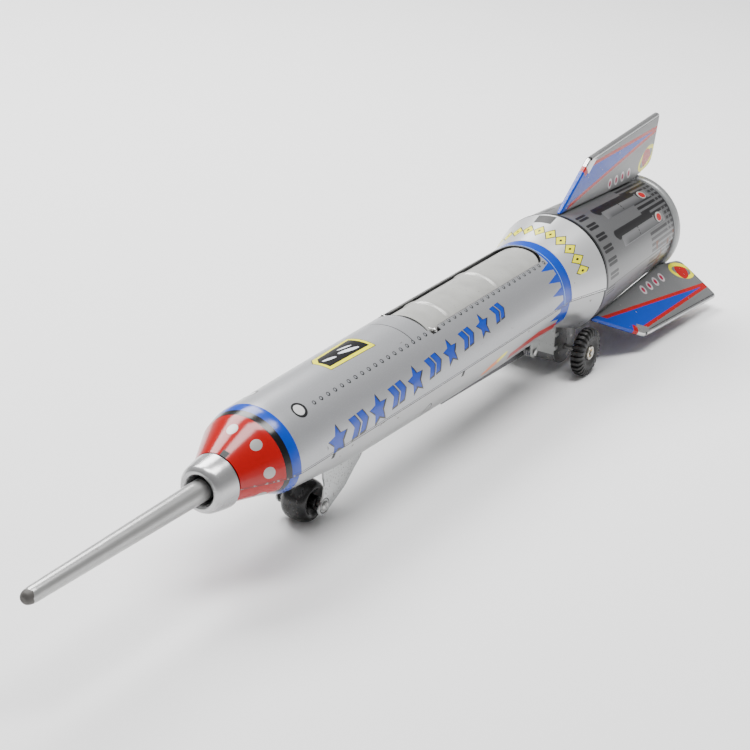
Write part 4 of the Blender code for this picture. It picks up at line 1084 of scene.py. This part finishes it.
front_half = [(15.0, -27.9), (15.0, -10.0), (17.0, -10.0), (17.0, 4.0)]
front_outline = front_half + [(-x, h) for x, h in front_half[::-1]]
front_plate = blank(
    "motor_front_plate", [[(x, s, h) for x, h in front_outline] for s in (206.7, 207.2)]
)
tabs = []
for side in (1, -1):
    for height in (-25.0, -18.6, -12.2):
        near, far = sorted((side * 14.4, side * 15.7))
        tabs.append(box_piece("tab", (near, 206.75, height - 0.8), (far, 207.15, height + 0.8)))
        near, far = sorted((side * 15.15, side * 15.65))
        tabs.append(box_piece("tab", (near, 206.8, height - 0.8), (far, 209.2, height + 0.8)))
combine(front_plate, tabs, "UNION")
soften(front_plate, 0.12, 2)
finish(front_plate, GALVANISED, "hull", ["motor_front"])


def motor_casing():
    middle = sum(MOTOR) / 2
    rows = []
    for x in steps_between(-13.9, 13.9, 10):
        row = []
        for turn in steps_between(94.0, 266.0, 48):
            row.append((x, middle + 10.0 * math.sin(turn * DEG) * -1.0, -26.5 + 8.3 * math.cos(turn * DEG)))
        rows.append(row)
    return sheet(grid("motor_belly", rows), TIN_SHEET)


CASING_PAINT = worn_paint("motor_casing_paint", (0.20, 0.20, 0.205), 0.4, 0.5, 0.64, (0.40, 0.39, 0.37))
finish(motor_casing(), CASING_PAINT, "hull", ["motor_casing"])
keep_node("motor_rear", GALVANISED)
keep_node("motor_plate_middle", GALVANISED)

GEAR_BRASS = bare_metal("gear_brass", (0.60, 0.42, 0.15), 0.35)
LEAD = worn_paint("flywheel_lead", (0.20, 0.20, 0.21), 0.5, 0.9, 0.64)
keep_node("axle_gear", GEAR_BRASS)
keep_node("lay_gear", GEAR_BRASS)
keep_node("flywheel_shaft", BARE_STEEL)
keep_node("flywheel", LEAD)


# ---------------------------------------------------------------------------------------------
# The rear wheels: black rubber tyres moulded with chunky cross lugs, pushed on turned nickel hubs
# that are pressed on the steel axle.
# ---------------------------------------------------------------------------------------------

LUGS = 26
TYRE = (22.4, 28.0)


def tyre_profile():
    """Points of half the tyre's section as (radius, along, share of a gap's depth)."""
    low, high = TYRE
    middle = (low + high) / 2
    side = [
        (3.35, 1.9, 0.0), (4.2, 1.9, 0.0), (4.9, 2.1, 0.0), (5.6, 2.55, 0.0), (6.4, 2.8, 0.0),
        (7.6, 2.8, 0.0), (8.3, 2.8, 0.35), (9.0, 2.75, 0.8), (9.8, 2.5, 1.0), (10.5, 2.05, 1.0),
        (10.9, 1.4, 1.0), (11.0, 0.7, 1.0), (11.0, 0.0, 1.0),
    ]
    near = [(r, middle + x, depth) for r, x, depth in side]
    far = [(r, middle - x, depth) for r, x, depth in side[-2::-1]]
    return near + far


def tyre(name, side):
    profile = tyre_profile()
    middle = sum(TYRE) / 2
    per_lug = 12
    count = LUGS * per_lug
    rows = []
    for i in range(count + 1):
        share = (i % per_lug) / per_lug
        gap = min(1.0, max(0.0, (abs(share - 0.5) * 2.0 - 0.56) / 0.14))
        row = []
        for r, along, depth in profile:
            sunk = gap * depth
            turn = 2 * math.pi * (i + (along - middle) * 0.35) / count
            reach = r - 1.15 * sunk
            across = middle + (along - middle) * (1.0 - 0.16 * sunk)
            row.append((side * across, REAR[0] + reach * math.sin(turn), REAR[1] + reach * math.cos(turn)))
        rows.append(row)
    rows[-1] = rows[0]
    return grid(name, rows, wrap=True)


rubber = Paint("tyre_rubber", (0.006, 0.006, 0.006), 0.5)
rubber.layer(rubber.noise(1.2, 5.0) > 0.60, (0.02, 0.019, 0.018), 0.7)
rubber.raise_by(rubber.noise(0.7, 4.0) * 0.08)
TYRE_RUBBER = rubber.done()
nickel = Paint("hub_nickel", (0.66, 0.63, 0.55), 0.28, 0.9)
nickel.layer(disc(nickel.s - REAR[0], nickel.h - REAR[1], 1.789), (0.50, 0.36, 0.17), 0.4, 0.9)
nickel.layer(nickel.noise(1.0, 5.0) > 0.60, (0.25, 0.22, 0.17), 0.5)
HUB_NICKEL = nickel.done()
hub_line = [
    (1.2, 21.2), (2.2, 21.2), (3.0, 22.0), (3.0, 27.9), (2.6, 28.15), (2.0, 28.0), (1.7, 27.5), (1.2, 27.4)
]
for name, side in (("port", 1), ("starboard", -1)):
    finish(tyre(f"lugged_tyre_{name}", side), TYRE_RUBBER, "rear_wheels", [f"tyre_{name}"])
    line = [(r, side * x) for r, x in rounded(hub_line, 0.2, 2)]
    hub = lathe(f"turned_hub_{name}", line, at=REAR, steps=56)
    finish(hub, HUB_NICKEL, "rear_wheels", [f"hub_{name}"])
keep_node("rear_axle", BARE_STEEL)


# ---------------------------------------------------------------------------------------------
# The engine drum: two more printed pressings behind the flare, shaded to look like a ring of
# boosters with exhaust louvres, closed by a grey cap with a rolled rim and a stamped nozzle.
# ---------------------------------------------------------------------------------------------

DRUM = (229.3, 311.8)
DRUM_RADII = (27.7, 23.7)
DRUM_GREY = (0.155, 0.157, 0.16)


def drum_radius(s):
    front, rear = DRUM_RADII
    return front + (rear - front) * (s - DRUM[0]) / (DRUM[1] - DRUM[0])


def drum_print(name):
    paint = Paint(name, DRUM_GREY, 0.33, 0.45)
    s = paint.s
    side = abs(paint.angle())
    arc_mm = 0.46
    paint.layer(paint.noise(0.35, 2.0) > 0.62, (0.18, 0.182, 0.185))

    # louvres round the rear, and pairs of slots round the front
    bar = (abs((side - 2.0).wrapped(6.1)) < 1.7) & s.within(283.0, 310.6)
    broken = s.within(303.2, 304.4) | s.within(307.0, 308.0)
    paint.layer(bar & ((broken & (abs((side - 29.0).wrapped(34.0)) < 13.0)) < 0.5), BLACK, 0.3, 0.0)
    pair = (side - 18.4).wrapped(12.7)
    row = side.within(12.0, 88.5)
    for lean in (2.0, -2.0):
        paint.layer(row & capsule(s - 238.0, (pair - lean) * arc_mm, 4.0, 0.68), BLACK, 0.35, 0.0)

    # two boosters each side: a black hollow above a shaded round body with a red lamp at its end
    for start, low, high in ((19.5, 1.6, 8.6), (50.8, 1.6, 9.4)):
        v = (side - start) * arc_mm
        body = v.within(low - 0.9, high / 1.9 + 1.4) & s.within(254.0, 303.0)
        paint.layer(body, (0.24, 0.243, 0.247), 0.28, 0.5)
        deep = ((v - 2.6) / 3.4).clamped() & ((s - 254.0) / 6.0).clamped()
        under = v.within(2.6, 6.0) & s.within(254.0, 300.0)
        paint.layer(under & deep, (0.075, 0.075, 0.08), 0.3, 0.4)
        hollow = capsule(s - 290.0, v + 0.55, 39.0, 1.9) & (s < 291.5)
        foot = disc((s - 252.6) * 0.8, v - 0.6, 1.9)
        paint.layer(hollow | foot, BLACK, 0.3, 0.0)
        for dash in (1.7, 3.3, 4.9):
            paint.layer((abs(s - 273.0) < 0.35) & (abs(v - dash) < 0.5), BLACK, 0.3, 0.0)
        lamp_u = s - 297.0
        lamp_v = v - 2.9
        paint.layer(disc((lamp_u + 1.2) / 1.3, lamp_v + 0.5, 2.6), BLACK, 0.3, 0.0)
        paint.layer(disc(lamp_u / 1.25, lamp_v, 2.6), (0.55, 0.54, 0.50), 0.3, 0.2)
        paint.layer(disc((lamp_u - 0.3) / 1.25, lamp_v - 0.25, 1.95), (0.46, 0.006, 0.008), 0.25, 0.0)

    # fine louvres by the seam, the seam itself, and black rings at both ends, the front one painted shade
    # in the gap behind the flare
    fine = (abs((side - 92.0).wrapped(2.9)) < 0.5) & side.within(91.0, 101.5) & s.within(232.5, 241.5)
    paint.layer(fine, BLACK, 0.4, 0.0)
    paint.layer(abs(side - 91.6) < 0.35, (0.05, 0.05, 0.05), 0.4, 0.2)
    # the front ring: painted shade in the gap behind the flare
    paint.layer(s < 230.9, BLACK, 0.3, 0.1)
    paint.layer(abs(s - 310.9) < 0.3, BLACK, 0.3, 0.1)
    worn = paint.noise(2.4, 6.0, (1.0, 0.3, 1.0)) > 0.725
    paint.layer(worn, (0.24, 0.235, 0.23), 0.45, 0.9)
    rust = (paint.noise(5.0, 5.0) > 0.60) & side.within(80.0, 140.0) & (s > 284.0)
    paint.layer(rust, (0.16, 0.07, 0.045), 0.5, 0.3)
    paint.raise_by(paint.noise(12.0, 2.0) * 0.06)
    return paint.done()


def drum_half(name, angles, drop, paint, replaced):
    rows = []
    for s in steps_between(DRUM[0], DRUM[1], 24):
        radius = drum_radius(s) - drop
        rows.append([(radius * math.sin(a * DEG), s, radius * math.cos(a * DEG)) for a in angles])
    made = sheet(grid(name, rows), TIN_SHEET)
    finish(made, paint, "hull", [replaced])


DRUM_PRINT = drum_print("drum_print")
drum_half("drum_top", steps_between(-UPPER_EDGE, UPPER_EDGE, 92), 0.0, DRUM_PRINT, "drum_upper")
belly_turn = steps_between(LOWER_EDGE, 360.0 - LOWER_EDGE, 96)
drum_half("drum_belly", belly_turn, LAP, DRUM_PRINT, "drum_lower")

cap_line = [
    (21.55, 304.8), (21.55, 312.5), (23.6, 312.5), (24.35, 313.4), (24.35, 316.0), (23.6, 317.25),
    (22.2, 317.4), (20.4, 311.0), (9.2, 308.8), (7.6, 314.2), (5.5, 314.2), (4.2, 307.9), (0.0, 307.8),
]
cap = lathe("tail_dish", turned_sheet(rounded(cap_line, 1.0, 4), TIN_SHEET), steps=128)
CAP_PAINT = worn_paint("tail_paint", (0.36, 0.37, 0.37), 0.36, 0.35, 0.68, coat=0.1)
finish(cap, CAP_PAINT, "hull", ["tail_cap"])


# ---------------------------------------------------------------------------------------------
# The three fins: each a printed blank of tinplate folded over on itself with a rolled edge, then
# tabbed through the drum. A blue and red wedge, four portholes and a ringed planet on each side.
# ---------------------------------------------------------------------------------------------

FIN_HALF = 1.35


def fin_print():
    paint = Paint("fin_print", (0.205, 0.208, 0.212), 0.36, 0.4)
    paint.layer(paint.noise(0.35, 2.0) > 0.62, (0.235, 0.238, 0.242))
    u = paint.s - 229.0
    r = length(paint.x, paint.h)

    # wedge: blue between two red lines that meet at the rear tip
    inner = r - 29.0 - (u - 9.5) * 0.157
    outer = (44.4 + u * 0.018) - r
    wedge = (inner > 0.0) & (outer > 0.0) & (u < 109.5)
    paint.layer(wedge, RED, 0.22, 0.0)
    paint.layer((inner > 1.75) & (outer > 1.7) & (u < 96.0), BLUE, 0.22, 0.0)

    # the leading edge: blue to a red bar, then bare tin at the shoulder
    inward = (u - 1.3) * 0.582 - (r - 27.9) * 0.813
    along = (u - 1.3) * 0.813 + (r - 27.9) * 0.582
    paint.layer(inward < 3.0, BLUE, 0.2, 0.0)
    paint.layer((inward < 3.6) & (along > 25.6), RED, 0.22, 0.0)
    bare = (along > 28.6) & (inward < 5.0)
    rim = ((50.2 + (u - 57.4) * 0.068) - r) < 2.6
    paint.layer(rim & (u > 24.0), (0.47, 0.475, 0.48), 0.26, 0.8)
    paint.layer(bare, (0.62, 0.62, 0.62), 0.25, 0.85)
    paint.layer((abs(((50.2 + (u - 57.4) * 0.068) - r) - 2.4) < 0.16) & (u > 33.0), INK, 0.4, 0.2)
    paint.layer(disc(u - 29.6, r - 47.0, 0.8), BLACK, 0.4, 0.0)

    # portholes near the root
    port_u = (u - 52.0).wrapped(6.8)
    row = u.within(48.6, 75.8)
    paint.layer(row & disc(port_u * 1.2, r - 29.6, 2.45), (0.62, 0.58, 0.60), 0.3, 0.1)
    paint.layer(row & disc(port_u * 1.2, r - 29.6, 1.4), (0.40, 0.01, 0.06), 0.3, 0.0)

    # planet with its ring: the ring passes behind the upper half
    du = u - 91.6
    dr = r - 32.4
    turned_u = du * 0.894 + dr * 0.447
    turned_r = dr * 0.894 - du * 0.447
    halo = disc(turned_u / 9.2, turned_r / 4.6, 1.0) & (disc(turned_u / 7.0, turned_r / 2.6, 1.0) < 0.5)
    planet = disc(du, dr, 4.6)
    paint.layer(halo, YELLOW, 0.28, 0.0)
    paint.layer(planet, RED, 0.25, 0.0)
    paint.layer(halo & (turned_r < 0.0), YELLOW, 0.28, 0.0)

    # dark line inside the rear edge, and rubbed metal along the folds
    rear = (103.8 - (52.6 - r) * 0.226) - u
    paint.layer((abs(rear - 1.0) < 0.2) & (r > 29.0), BLACK, 0.4, 0.1)
    worn = paint.noise(2.4, 6.0) > 0.70
    paint.layer(worn, (0.34, 0.33, 0.32), 0.45, 0.9)
    paint.raise_by(((inward > 3.0) & (rim < 0.5) & (rear > 1.3)) * -0.22)
    paint.raise_by(paint.noise(13.0, 2.0) * 0.10)
    return paint.done()


def fin_corner(before, corner, after, reach):
    return rounded([before, corner, after], reach, 8)[1:-1]


def fin_shape():
    """A fin's outline as (station, radius), with its outer corners rounded."""
    root = [(307.0, drum_radius(307.0) + 0.2), (230.4, drum_radius(230.4) + 0.2)]
    shoulder, tip, heel = (257.7, 47.5), (333.0, 52.6), (327.5, 28.2)
    shape = [root[1]]
    shape += fin_corner(root[1], shoulder, tip, 2.2)
    shape += fin_corner(shoulder, tip, heel, 3.4)
    shape += fin_corner(tip, heel, root[0], 5.0)
    shape += [root[0]]
    return shape


FIN_PRINT = fin_print()
for name, degrees in (("top", 0.0), ("port", 130.0), ("starboard", -130.0)):
    drop = 0.0 if degrees == 0.0 else LAP
    across = (math.cos(degrees * DEG), -math.sin(degrees * DEG))
    away = (math.sin(degrees * DEG), math.cos(degrees * DEG))
    rows = []
    for side in (-FIN_HALF, FIN_HALF):
        row = [(s, r - drop * (r < 30.0)) for s, r in fin_shape()]
        rows.append(
            [(away[0] * r + across[0] * side, s, away[1] * r + across[1] * side) for s, r in row]
        )
    fin = blank(f"folded_fin_{name}", rows)
    soften(fin, 1.15, 5, 50.0)
    finish(fin, FIN_PRINT, "hull", [f"fin_{name}"], sharp=40.0)
